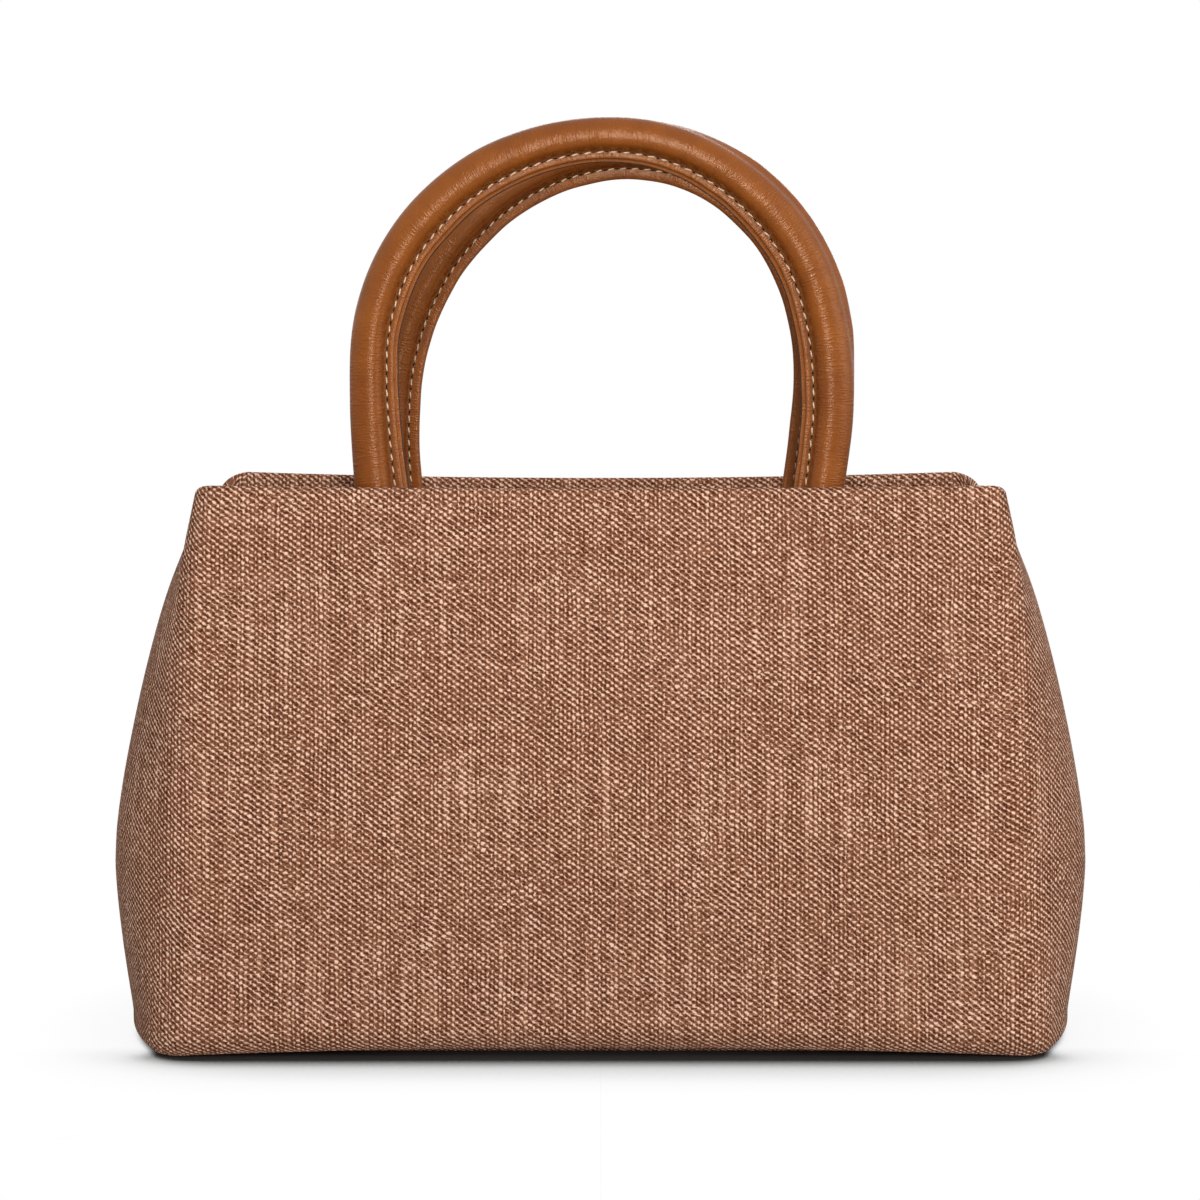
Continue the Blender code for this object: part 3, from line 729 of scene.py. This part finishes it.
def layMap(bm, spots):
    # spots: one (x, y) for each vertex, in the order in which the vertices were made.
    bm.verts.index_update()
    layer = bm.loops.layers.uv.new("layMap")
    for face in bm.faces:
        for corner in face.loops:
            corner[layer].uv = spots[corner.vert.index]


def skinRings(bm, rings, marks=None, plain=0):
    # Faces from ring to ring and a cap at each end; marks holds the material of each strip.
    count = len(rings[0])
    for low, high in zip(rings, rings[1:]):
        for k in range(count):
            after = (k + 1) % count
            face = bm.faces.new((low[k], low[after], high[after], high[k]))
            face.material_index = marks[k] if marks else plain
    for ring in (rings[0], rings[-1]):
        bm.faces.new(ring).material_index = plain


def sheetMesh(name, columns, mats):
    # Closed sheet from columns of rows; each row is an (outer, inner) pair of (point, map place).
    bm = bmesh.new()
    spots = []
    skins = []
    for layer in (0, 1):
        skin = []
        for column in columns:
            line = []
            for pair in column:
                line.append(bm.verts.new(pair[layer][0]))
                spots.append(pair[layer][1])
            skin.append(line)
        skins.append(skin)
    outer, inner = skins
    wide, tall = len(columns) - 1, len(columns[0]) - 1
    for c in range(wide):
        for r in range(tall):
            for skin in skins:
                bm.faces.new((skin[c][r], skin[c + 1][r], skin[c + 1][r + 1], skin[c][r + 1]))
        for r in (0, tall):
            bm.faces.new((outer[c][r], outer[c + 1][r], inner[c + 1][r], inner[c][r]))
    for r in range(tall):
        for c in (0, wide):
            bm.faces.new((outer[c][r], outer[c][r + 1], inner[c][r + 1], inner[c][r]))
    layMap(bm, spots)
    return finishMesh(name, bm, mats)


def wallColumns(upright):
    if upright:
        flat = [k / 28 for k in range(-28, 29)]
        corner = [1 + k / 10 for k in range(1, 9)] + [1.85, 1.9, 1.94, 1.97, 1.99, 2.0]
        return [-u for u in corner[::-1]] + flat + corner
    inner = [k / 20 for k in range(-19, 20)]
    edge = [0.965, 0.98, 0.99, 0.996, 1.0]
    return [-u for u in edge[::-1]] + inner + edge


def seamNearness(upright, u):
    # 1 away from the seam, falling to 0 on it.
    end, width = (2.0, 0.12) if upright else (1.0, 0.02)
    return min((end - abs(u)) / width, 1.0)


def clothSwell(side, u, z):
    return softSwell(side, u, z, seamNearness(side in uprightSides, u))


def widestRow(columns):
    rows = range(len(columns[0]))
    return max(sum((b[r][0][0] - a[r][0][0]).length for a, b in zip(columns, columns[1:])) for r in rows)


def declareSheet(piece, wide=None):
    # Works out the cut's flat size from the map laid on the piece; the sizes go no further.
    layer = piece.data.uv_layers["layMap"].data
    xs = [spot.uv[0] for spot in layer]
    ys = [spot.uv[1] for spot in layer]
    wide, long = wide or max(xs) - min(xs), max(ys) - min(ys)


# ---- cloth walls

clothWalls = {
    "front": {"piece": "frontPanelCloth", "node": "front_panel", "board": "front_board"},
    "rear": {"piece": "rearPanelCloth", "node": "rear_panel", "board": "rear_board"},
    "left": {"piece": "leftGussetCloth", "node": "left_gusset", "board": "left_gusset_board"},
    "right": {"piece": "rightGussetCloth", "node": "right_gusset", "board": "right_gusset_board"},
}


def makeWallCloth(side, look):
    upright = side in uprightSides
    columns = []
    for u in wallColumns(upright):
        column = []
        dip = seamDip(seamNearness(upright, u))
        for step in clothSteps:
            rolled = step[0] in ("fold", "facing", "under")
            outer = wallPoint(side, u, step, dip if rolled else 0.0, swell=clothSwell)
            inner = wallPoint(side, u, step, layers["cloth"])
            column.append((outer, inner))
        columns.append(column)
    piece = sheetMesh(look["piece"], columns, [materials["cloth"]])
    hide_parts(look["node"])
    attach(piece, "bag")
    declareSheet(piece, wide=widestRow(columns))


for side, look in clothWalls.items():
    makeWallCloth(side, look)
print("cloth walls: four pieces")


def baseOutline(inset):
    level = bag["footRadius"]
    places = []
    sides = (("front", wallColumns(True)), ("right", wallColumns(False)),
             ("rear", wallColumns(True)[::-1]), ("left", wallColumns(False)[::-1]))
    for side, spans in sides:
        plan = panelPlan if side in uprightSides else gussetPlan
        flipX, flipY = wallMirror[side]
        for u in spans[:-1]:
            x, y, _ = plan(u, level, inset)
            places.append((x * flipX, y * flipY))
    return places


def slabMesh(name, low, high, inset, mats, crown=0.0, roll=0.0004):
    # A thin slab of the base's outline, its upper edge rolled and its middle a little proud.
    outline = baseOutline(inset)
    bm = bmesh.new()
    spots = []
    rings = []
    stack = [(0.5, low, 0.0), (0.985, low, 0.0), (0.996, low + roll * 0.4, 0.0),
             (1.0, (low + high) / 2, 0.0), (0.996, high - roll * 0.4, 0.0), (0.985, high, 0.1),
             (0.9, high, 0.5), (0.75, high, 0.85), (0.5, high, 1.0), (0.25, high, 1.0)]
    for share, z, rise in stack:
        ring = []
        for x, y in outline:
            ring.append(bm.verts.new((x * share, y * share, z + crown * rise)))
            spots.append((x * share, y * share))
        rings.append(ring)
    skinRings(bm, rings)
    layMap(bm, spots)
    return finishMesh(name, bm, mats)


basePieces = {
    "basePanelCloth": {"node": "base_panel", "low": 0.0, "high": 0.0011, "material": "cloth",
                       "slot": "woven_cloth", "crown": 0.0, "held": "stretched"},
    "baseLiningCloth": {"node": "base_lining", "low": 0.0035, "high": 0.0041, "material": "lining",
                        "slot": "lining_cloth", "crown": 0.0007, "held": "laid"},
}

for name, look in basePieces.items():
    piece = slabMesh(name, look["low"], look["high"], bag["baseInset"] - 0.0001,
                     [materials[look["material"]]], look["crown"])
    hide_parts(look["node"])
    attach(piece, "bag")
    declareSheet(piece)
print("base: cloth and lining")

# ---- lining

liningWalls = {
    "front": {"piece": "frontLiningCloth", "node": "front_lining"},
    "rear": {"piece": "rearLiningCloth", "node": "rear_lining"},
    "left": {"piece": "leftLiningCloth", "node": "left_lining"},
    "right": {"piece": "rightLiningCloth", "node": "right_lining"},
}


def makeWallLining(side, look):
    upright = side in uprightSides
    columns = []
    for u in wallColumns(upright):
        column = []
        for step in liningSteps:
            slack = 0.0
            if step[0] == "wall":
                place = Vector((u * reachOf(upright) / softness["slackWide"],
                                step[1] * softness["slackReach"] / softness["slackTall"], 20 + len(side)))
                hold = sin(pi * step[1]) * seamNearness(upright, u) ** 0.5
                slack = softness["liningSlack"] * hold * (0.5 + 0.5 * noise.noise(place))
            outer = wallPoint(side, u, step, liningDepth, layers["gap"] * 0.2)
            inner = wallPoint(side, u, step, liningDepth + layers["lining"] + slack, layers["gap"] * 0.2)
            column.append((outer, inner))
        columns.append(column)
    piece = sheetMesh(look["piece"], columns, [materials["lining"]])
    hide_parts(look["node"])
    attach(piece, "bag")
    declareSheet(piece, wide=widestRow(columns))


for side, look in liningWalls.items():
    makeWallLining(side, look)
print("lining: four walls")

# ---- stitches

stitchLooks = {
    "handle": {"pitch": 0.0043, "length": 0.0024, "radius": 0.00025, "arch": 0.00018, "slant": 9,
               "sink": 0.0},
    "tab": {"pitch": 0.0034, "length": 0.0023, "radius": 0.0003, "arch": 0.0002, "slant": 5,
            "sink": 0.0001},
    "facing": {"pitch": 0.0032, "length": 0.0024, "radius": 0.00022, "arch": 0.00018, "slant": 3,
               "sink": 0.00006},
}


def evenPlaces(path, pitch):
    # Spots at equal distances along a path of (point, normal) pairs: point, normal and direction.
    reach = [0.0]
    for (a, _), (b, _) in zip(path, path[1:]):
        reach.append(reach[-1] + (b - a).length)
    count = max(int(reach[-1] / pitch), 1)
    start = (reach[-1] - (count - 1) * pitch) / 2
    found = []
    k = 0
    for n in range(count):
        target = start + n * pitch
        while k < len(path) - 2 and reach[k + 1] < target:
            k += 1
        share = (target - reach[k]) / max(reach[k + 1] - reach[k], 1e-9)
        point = path[k][0].lerp(path[k + 1][0], share)
        normal = path[k][1].lerp(path[k + 1][1], share).normalized()
        found.append((point, normal, (path[k + 1][0] - path[k][0]).normalized()))
    return found


def addPill(bm, spots, centre, along, up, half, radius, arch, index, rings=7, sides=8):
    # One stitch, or the painted shade of the needle hole beside it: a rounded rod whose ends dip into the
    # leather.
    across = along.cross(up).normalized()
    loops = []
    for r in range(rings):
        t = -1 + 2 * r / (rings - 1)
        girth = radius * sqrt(max(1 - abs(t) ** 3.2, 0.02))
        middle = centre + along * (half * t) - up * (arch * t * t)
        loop = []
        for s in range(sides):
            turn = 2 * pi * s / sides
            loop.append(bm.verts.new(middle + across * (girth * cos(turn)) + up * (girth * 0.8 * sin(turn))))
            spots.append((radius * turn, half * t))
        loops.append(loop)
    skinRings(bm, loops, plain=index)


def stitchRow(name, paths, look, thread="thread"):
    bm = bmesh.new()
    spots = []
    for path in paths:
        for point, normal, along in evenPlaces(path, look["pitch"]):
            turned = Matrix.Rotation(radians(look["slant"]), 3, normal) @ along
            addPill(bm, spots, point + normal * (look["radius"] * 0.55 - look["sink"]), turned, normal,
                    look["length"] / 2, look["radius"], look["arch"], 0)
            # Beside each stitch a near-black pill paints the shade inside the needle hole.
            hole = point + along * (look["pitch"] / 2) - normal * (look["radius"] * 0.6)
            addPill(bm, spots, hole, along, normal, (look["pitch"] - look["length"]) * 0.48,
                    look["radius"] * 1.5, 0.0, 1, rings=5)
    layMap(bm, spots)
    return finishMesh(name, bm, [materials[thread], materials["hole"]])


# ---- handles

tube = {"radius": 0.00575, "flange": 0.0047, "layer": 0.0013, "crest": 0.0014, "pivotRise": 0.0040,
        "stitchAt": 0.00665, "shortLayer": 0.0089, "lowEnd": 0.1834, "pinch": 0.80,
        "uneven": 0.014, "unevenSize": 0.012, "wander": 0.00022, "wanderSize": 0.016}

handles = {
    "front": {"spread": 0.1592, "rise": 0.1168, "arch": 0.0738, "lean": 0.0033, "body": "front_handle",
              "tapers": (0.0025, 0.0025), "pull": (0.0011, 0.0041),
              "inner": ((0, 1.22), (0.03, 1.17), (0.12, 1.02), (0.3, 1), (0.5, 0.88), (0.6, 0.97),
                        (0.72, 1.12), (0.9, 1.09), (1, 1.05)),
              "outer": ((0, 1), (0.2, 1), (0.28, 1.08), (0.38, 1.12), (0.44, 1.05), (0.5, 1), (0.62, 1),
                        (0.7, 1.05), (0.8, 1.05), (0.87, 1.12), (0.93, 1.1), (1, 1.03)),
              "ridge": ((0.53, 0), (0.57, 0.0008), (0.65, 0.0026), (0.7, 0.0025), (0.75, 0.0024),
                        (0.79, 0.0026), (0.83, 0.0021), (0.86, 0.0009), (0.89, 0))},
    "rear": {"spread": 0.1542, "rise": 0.1160, "arch": 0.0845, "lean": 0.0098, "body": "rear_handle",
             "tapers": (0.0025, 0.0007), "pull": (0.0004, 0.0012),
             "inner": ((0, 1),), "outer": ((0, 1),), "ridge": ((0, 0),)},
}


def handlePlace():
    return halfDepth(bag["height"]) - foldWidth - layers["gap"] - tube["radius"]


def handleLine(look, legCount=26, archCount=96):
    # Centre line in X and Z, from the left leg's lower end over the top to the right one's.
    half = look["spread"] / 2
    shoulder = look["rise"] - look["arch"]
    foot = tube["lowEnd"] - bag["height"]
    heights = [foot + (shoulder - foot) * k / legCount for k in range(legCount)]
    left, right = [[(half - taper * ((shoulder - z) / shoulder) ** 2, z) for z in heights]
                   for taper in look["tapers"]]
    places = [(-x, z) for x, z in left]
    for k in range(archCount + 1):
        turn = pi * k / archCount
        places.append((-half * cos(turn), shoulder + look["arch"] * sin(turn)))
    low, high = look["pull"]
    line = []
    for x, z in places + right[::-1]:
        x -= (low + (high - low) * ease(z, 0.020, 0.062)) * ease(x, 0, 0.055)
        line.append(Vector((x + look["lean"] * z / look["rise"], 0, z + bag["height"])))
    return line


def sideways(line):
    normals = []
    for k in range(len(line)):
        along = line[min(k + 1, len(line) - 1)] - line[max(k - 1, 0)]
        normals.append(Vector((-along.z, 0, along.x)).normalized())
    normals[0] = Vector((-1, 0, 0))
    normals[-1] = Vector((1, 0, 0))
    return normals


def handleProfile():
    # (out, across, rubbed edge and painted light, edge paint): a roll pulled slightly towards its
    # sewn edge. The short layer lies at negative across, the long one stands past it.
    radius, layer = tube["radius"], tube["layer"]
    long, short, at = -(radius + tube["flange"]), -tube["shortLayer"], -tube["stitchAt"]
    points = []
    for k in range(37):
        turn = -(pi - 0.31) + 2 * (pi - 0.31) * k / 36
        points.append((radius * cos(turn) - tube["crest"] * sin(turn) ** 2, radius * sin(turn), 0, 0))
    pinch = layer * tube["pinch"]
    # Positive third values pale the rubbed edges and paint a highlight along them; negative ones paint shade
    # into the stitch groove.
    longSide = [(at + 0.0007, layer * 0.93, -0.25, 0), (at, pinch, -0.9, 0),
                (at - 0.0006, layer * 0.87, 0, 0), (at - 0.0014, layer * 0.98, 0, 0),
                (long + 0.0012, layer * 1.12, 0, 0), (long + 0.0007, layer * 1.08, 0.05, 0),
                (long + 0.0003, layer * 0.94, 0.1, 0), (long + 0.0001, layer * 0.78, 0.1, 0),
                (long, layer * 0.6, 0, 1), (long, layer * 0.3, 0, 1), (long + 0.0001, layer * 0.1, 0, 1),
                (long + 0.0004, 0.0, 0.2, 0)]
    shortSide = [(short - 0.0003, -layer * 0.02, 0, 0), (short - 0.0001, -layer * 0.12, 0, 0),
                 (short, -layer * 0.35, 0, 0), (short + 0.00002, -layer * 0.65, 0.3, 0),
                 (short + 0.0001, -layer * 0.88, 0.6, 0), (short + 0.0003, -layer * 1.01, 0.3, 0),
                 (short + 0.0005, -layer * 1.03, 0.0, 0), (at - 0.0012, -layer * 1.03, 0, 0),
                 (at - 0.0006, -layer * 0.95, 0, 0), (at, -pinch, -0.9, 0),
                 (at + 0.0007, -layer * 0.93, -0.25, 0)]
    return points + longSide + shortSide


def between(stations, share):
    # Value at this share of the length, in line between the stations around it.
    for (low, first), (high, second) in zip(stations, stations[1:]):
        if share < high:
            return first + (second - first) * (share - low) / (high - low)
    return stations[-1][1]


def makeHandle(side, look):
    sign = -1 if side == "front" else 1
    line = handleLine(look)
    normals = sideways(line)
    profile = handleProfile()
    placeY = sign * handlePlace()
    around = [0.0]
    for a, b in zip(profile, profile[1:] + profile[:1]):
        around.append(around[-1] + sqrt((b[0] - a[0]) ** 2 + (b[1] - a[1]) ** 2))
    bm = bmesh.new()
    edgeWearAndLightLayer = bm.verts.layers.float.new("rubbedAndPaintedLight")
    spots, rings = [], []
    travelled = 0.0
    length = sum((b - a).length for a, b in zip(line, line[1:]))
    stitchOut = []
    for k, (point, normal) in enumerate(zip(line, normals)):
        if k:
            travelled += (point - line[k - 1]).length
        # The roll is never quite even, and its sewn edge wanders a little.
        swell = 1 + tube["uneven"] * noise.noise(Vector((travelled / tube["unevenSize"], sign, 0)))
        edge = tube["wander"] * noise.noise(Vector((travelled / tube["wanderSize"], 3 * sign, 7)))
        share = travelled / length
        inner, outer, ridge = [between(look[key], share) for key in ("inner", "outer", "ridge")]
        stitchOut.append(tube["stitchAt"] * inner)
        ring = []
        for (out, across, rubbedAndPaintedLight, _), reach in zip(profile, around):
            # On the right the roll is squeezed wide, with a fold along its back.
            fold = ridge * ease(out, 0.0, 0.004) * ease(across, -0.0010, 0.0018)
            out = out * swell * (inner if out < 0 else outer) + fold
            out += edge if out < -tube["stitchAt"] - 0.0005 else 0
            vert = bm.verts.new(point + normal * out + Vector((0, placeY - sign * across * swell, 0)))
            vert[edgeWearAndLightLayer] = rubbedAndPaintedLight
            ring.append(vert)
            spots.append((reach, travelled))
        rings.append(ring)
    skinRings(bm, rings, [painted for _, _, _, painted in profile])
    layMap(bm, spots)
    leather = finishMesh(side + "HandleLeather", bm, [materials["leather"], materials["edge"]], 0.9)
    paths = []
    for face in (-1, 1):
        across = Vector((0, placeY - sign * face * tube["layer"] * tube["pinch"], 0))
        outward = Vector((0, -sign * face, 0))
        keep = [k for k, point in enumerate(line) if point.z > bag["height"] - 0.004]
        paths.append([(line[k] - normals[k] * stitchOut[k] + across, outward) for k in keep])
    rows = stitchRow(side + "HandleStitches", paths, stitchLooks["handle"])
    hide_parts(side + "_handle_leather", side + "_handle_core")
    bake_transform(leather)
    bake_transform(rows)
    return line, profile


tab = {"width": 0.022, "drop": 0.030, "neck": 0.013, "thick": 0.0018, "wrap": 0.0005, "border": 0.0022,
       "underPivot": 0.0076, "middle": -0.0022, "square": 0.45,
       "tip": (0.04, 0.16, 0.3, 0.45, 0.6, 0.74, 0.86, 0.94, 1.0)}


def tabWall(z):
    return halfDepth(z) - foldWidth - layers["gap"] * 0.3


def makeTab(side, edge, x, flangeSign, profile):
    # Lofted from the handle's own section down to a flat tongue sewn against the wall.
    sign = -1 if side == "front" else 1
    top = bag["height"] + tube["pivotRise"] - tab["underPivot"]
    low = bag["height"] - tab["drop"]
    neckLow = top - tab["neck"]
    half = tab["width"] / 2
    # Height, share of the full width, and how far the tongue has rolled up: tip, flat, then neck.
    heights = [(low + half * (1 - sqrt(1 - share ** 2)), share, 0.0) for share in tab["tip"]]
    heights += [(low + half + (neckLow - low - half) * k / 2, 1.0, 0.0) for k in (1, 2)]
    heights += [(neckLow + tab["neck"] * k / 10, 1.0, k / 10) for k in range(1, 11)]
    bm = bmesh.new()
    # The tab carries no rubbed edge and no painted light.
    bm.verts.layers.float.new("rubbedAndPaintedLight")  # not rubbed anywhere
    spots, rings = [], []
    for z, share, rise in heights:
        roll = smooth(rise)
        wall = tabWall(z)
        ring = []
        for out, across, _, _ in profile:
            angle = atan2(across, out - tab["middle"])
            wrapOut = out + tab["wrap"] * cos(angle)
            wrapAcross = across + tab["wrap"] * sin(angle)
            flatOut = copysign(abs(cos(angle)) ** tab["square"], cos(angle)) * half * share
            flatAcross = copysign(abs(sin(angle)) ** tab["square"], sin(angle)) * tab["thick"] / 2
            placeOut = flatOut + (wrapOut - flatOut) * roll
            placeAcross = flatAcross + (wrapAcross - flatAcross) * roll
            thick = tab["thick"] / 2 + (tube["radius"] - tab["thick"] / 2) * roll
            y = sign * (wall - thick) - sign * placeAcross
            y = min(y, wall) if sign > 0 else max(y, -wall)
            ring.append(bm.verts.new((x + flangeSign * placeOut, y, z)))
            spots.append((placeOut, z))
        rings.append(ring)
    skinRings(bm, rings)
    layMap(bm, spots)
    name = side + edge
    piece = finishMesh(name + "TabLeather", bm, [materials["tabLeather"]], 0.8)
    inner = half - tab["border"]
    turns = [pi * k / 40 - pi / 2 for k in range(41)]
    path = [(inner * sin(turn), low + half - inner * cos(turn)) for turn in turns]
    straight = (low + half + 0.002, neckLow + 0.001)
    path = [(-inner, z) for z in straight[::-1]] + path + [(inner, z) for z in straight]
    line = []
    for px, pz in path:
        wall = tabWall(pz) - tab["thick"]
        line.append((Vector((x + px, sign * wall, pz)), Vector((0, -sign, 0))))
    rows = stitchRow(name + "TabStitches", [line], stitchLooks["tab"])
    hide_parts(side + "_" + edge.lower() + "_tab")
    for made in (piece, rows):
        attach(made, "bag")


for side, look in handles.items():
    line, profile = makeHandle(side, look)
    makeTab(side, "Left", line[0].x, -1, profile)
    makeTab(side, "Right", line[-1].x, 1, profile)
print("handles: leather, stitches and tabs")

# ---- facing stitches, pocket

# The row lies this far above the facing's lower edge; the probe's depth gives the cloth's normal.
facingRow = {"above": 0.0022, "probe": 0.0005}


def makeFacingStitches():
    paths = []
    step = ("facing", facingRow["above"] / (layers["facing"] - foldWidth / 2))
    for side in clothWalls:
        path = []
        for u in wallColumns(side in uprightSides)[2:-2]:
            point, _ = wallPoint(side, u, step, 0.0)
            deeper, _ = wallPoint(side, u, step, facingRow["probe"])
            path.append((point, (point - deeper).normalized()))
        paths.append(path)
    rows = stitchRow("facingStitches", paths, stitchLooks["facing"], "seamThread")
    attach(rows, "bag")


makeFacingStitches()

pocket = {"width": 0.150, "height": 0.085, "sill": 0.050, "corner": 0.012, "hem": 0.012, "gape": 0.0035,
          "thick": 0.0006, "off": 0.0012, "hemThick": 0.0005, "border": 0.002, "crease": 0.0003}


def pocketPoint(x, z, lift):
    # Place on the rear lining, lifted off it; the top edge stands open a little in the middle.
    up = max((z - pocket["sill"]) / pocket["height"], 0)
    side = max(1 - (2 * x / pocket["width"]) ** 2, 0)
    gape = pocket["gape"] * up ** 3 * side
    crease = pocket["crease"] * noise.noise(Vector((x / 0.02, z / 0.03, 40))) * side
    depth = liningDepth + layers["lining"] + layers["gap"] + pocket["off"] * side ** 0.3
    return Vector((x, halfDepth(z) - depth - lift - gape - crease, z)), (x, z)


def makePocket():
    half = pocket["width"] / 2
    top = pocket["sill"] + pocket["height"]
    columns = []
    for n in range(-30, 31):
        x = half * n / 30
        inside = max(abs(x) - (half - pocket["corner"]), 0)
        floorZ = pocket["sill"] + pocket["corner"] - sqrt(max(pocket["corner"] ** 2 - inside ** 2, 0))
        column = []
        for r in range(31):
            z = floorZ + (top - floorZ) * r / 30
            hem = pocket["hemThick"] * ease(z, top - pocket["hem"] - 0.001, top - pocket["hem"])
            column.append((pocketPoint(x, z, 0.0), pocketPoint(x, z, pocket["thick"] + hem)))
        columns.append(column)
    piece = sheetMesh("slipPocketCloth", columns, [materials["lining"]])
    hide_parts("slip_pocket")
    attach(piece, "bag")
    inner = half - pocket["border"]
    border = [(-inner, top - 0.001)]
    border += [(-inner, top - pocket["height"] * k / 20) for k in range(1, 17)]
    reach = pocket["corner"] - pocket["border"]
    lowest = pocket["sill"] + pocket["border"]
    for k in range(9):
        turn = pi / 2 * k / 8
        border.append((-inner + reach * (1 - cos(turn)), lowest + reach * (1 - sin(turn))))
    border += [(-inner + reach + (inner - reach) * k / 10, lowest) for k in range(1, 11)]
    border += [(-x, z) for x, z in border[-2::-1]]
    hemLine = [(inner * k / 20, top - pocket["hem"] + 0.0015) for k in range(-20, 21)]
    paths = []
    for spots in (border, hemLine):
        lift = pocket["thick"] + (pocket["hemThick"] if spots is hemLine else 0)
        paths.append([(pocketPoint(x, z, lift)[0], Vector((0, -1, 0))) for x, z in spots])
    rows = stitchRow("slipPocketStitches", paths, stitchLooks["facing"], "seamThread")
    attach(rows, "bag")
    declareSheet(piece)


makePocket()
print("facing stitches and slip pocket")

# ---- magnetic snap

snap = {"radius": 0.008, "drop": 0.017, "studBase": 0.0014, "studRadius": 0.0034, "studPost": 0.0018,
        "socketHeight": 0.0026}


def turned(name, profile, matrix, mats, segments=56):
    # A ring for each (radius, height), and flat faces that close the first and the last.
    bm = bmesh.new()
    turns = [2 * pi * k / segments for k in range(segments)]
    rings = [[bm.verts.new((radius * cos(turn), radius * sin(turn), height)) for turn in turns]
             for radius, height in profile]
    skinRings(bm, rings)
    bm.transform(matrix)
    return finishMesh(name, bm, mats, 0.5)


def snapFrame(sign):
    z = bag["height"] - snap["drop"]
    place = Vector((0, sign * (halfDepth(z) - foldWidth - layers["gap"] * 0.5), z))
    return Matrix.Translation(place) @ Matrix.Rotation(sign * (pi / 2 + wallLean), 4, "X")


def rounded(radius, height, soft=0.0003, count=4):
    return [(radius - soft + soft * sin(pi / 2 * k / count), height - soft + soft * cos(pi / 2 * k / count))
            for k in range(count + 1)]


def makeSnap():
    r, base, post = snap["radius"], snap["studBase"], snap["studBase"] + snap["studPost"]
    neck = snap["studRadius"]
    stud = [(neck * 0.35, post)] + rounded(neck * 0.88, post, 0.0004)
    stud += [(neck, post - 0.0006), (neck, base + 0.0002), (neck + 0.0004, base), (neck + 0.0016, base),
             (neck + 0.0018, base + 0.00015), (neck + 0.0022, base + 0.00015), (neck + 0.0024, base)]
    stud += rounded(r, base, 0.0005) + [(r, 0.0003), (r - 0.0002, 0)]
    high, well = snap["socketHeight"], neck + 0.0003
    floorZ = high - snap["studPost"]
    socket = [(well - 0.0003, floorZ), (well, floorZ + 0.0003), (well, high - 0.0004),
              (well + 0.0003, high - 0.0001), (well + 0.0006, high), (well + 0.0014, high),
              (well + 0.0016, high - 0.0002), (well + 0.0021, high - 0.0002), (well + 0.0023, high)]
    socket += rounded(r, high, 0.0007, 6) + [(r, 0.0003), (r - 0.0002, 0)]
    for sign, name, profile in ((-1, "snap_stud", stud), (1, "snap_socket", socket)):
        piece = turned(name.replace("snap_", "snapPlate_"), profile, snapFrame(sign), [materials["metal"]])
        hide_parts(name)
        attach(piece, "bag")


makeSnap()
print("magnetic snap")

# ---- pieces of the frame that stay, inside the walls

keptNodes = {
    "board": ("front_board", "rear_board", "left_gusset_board", "right_gusset_board", "base_board"),
    "metal": ("stud_washer", "socket_washer"),
}
for finish, names in keptNodes.items():
    for name in names:
        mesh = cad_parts[name].data
        mesh.materials.clear()
        mesh.materials.append(materials[finish])
print("boards and washers")
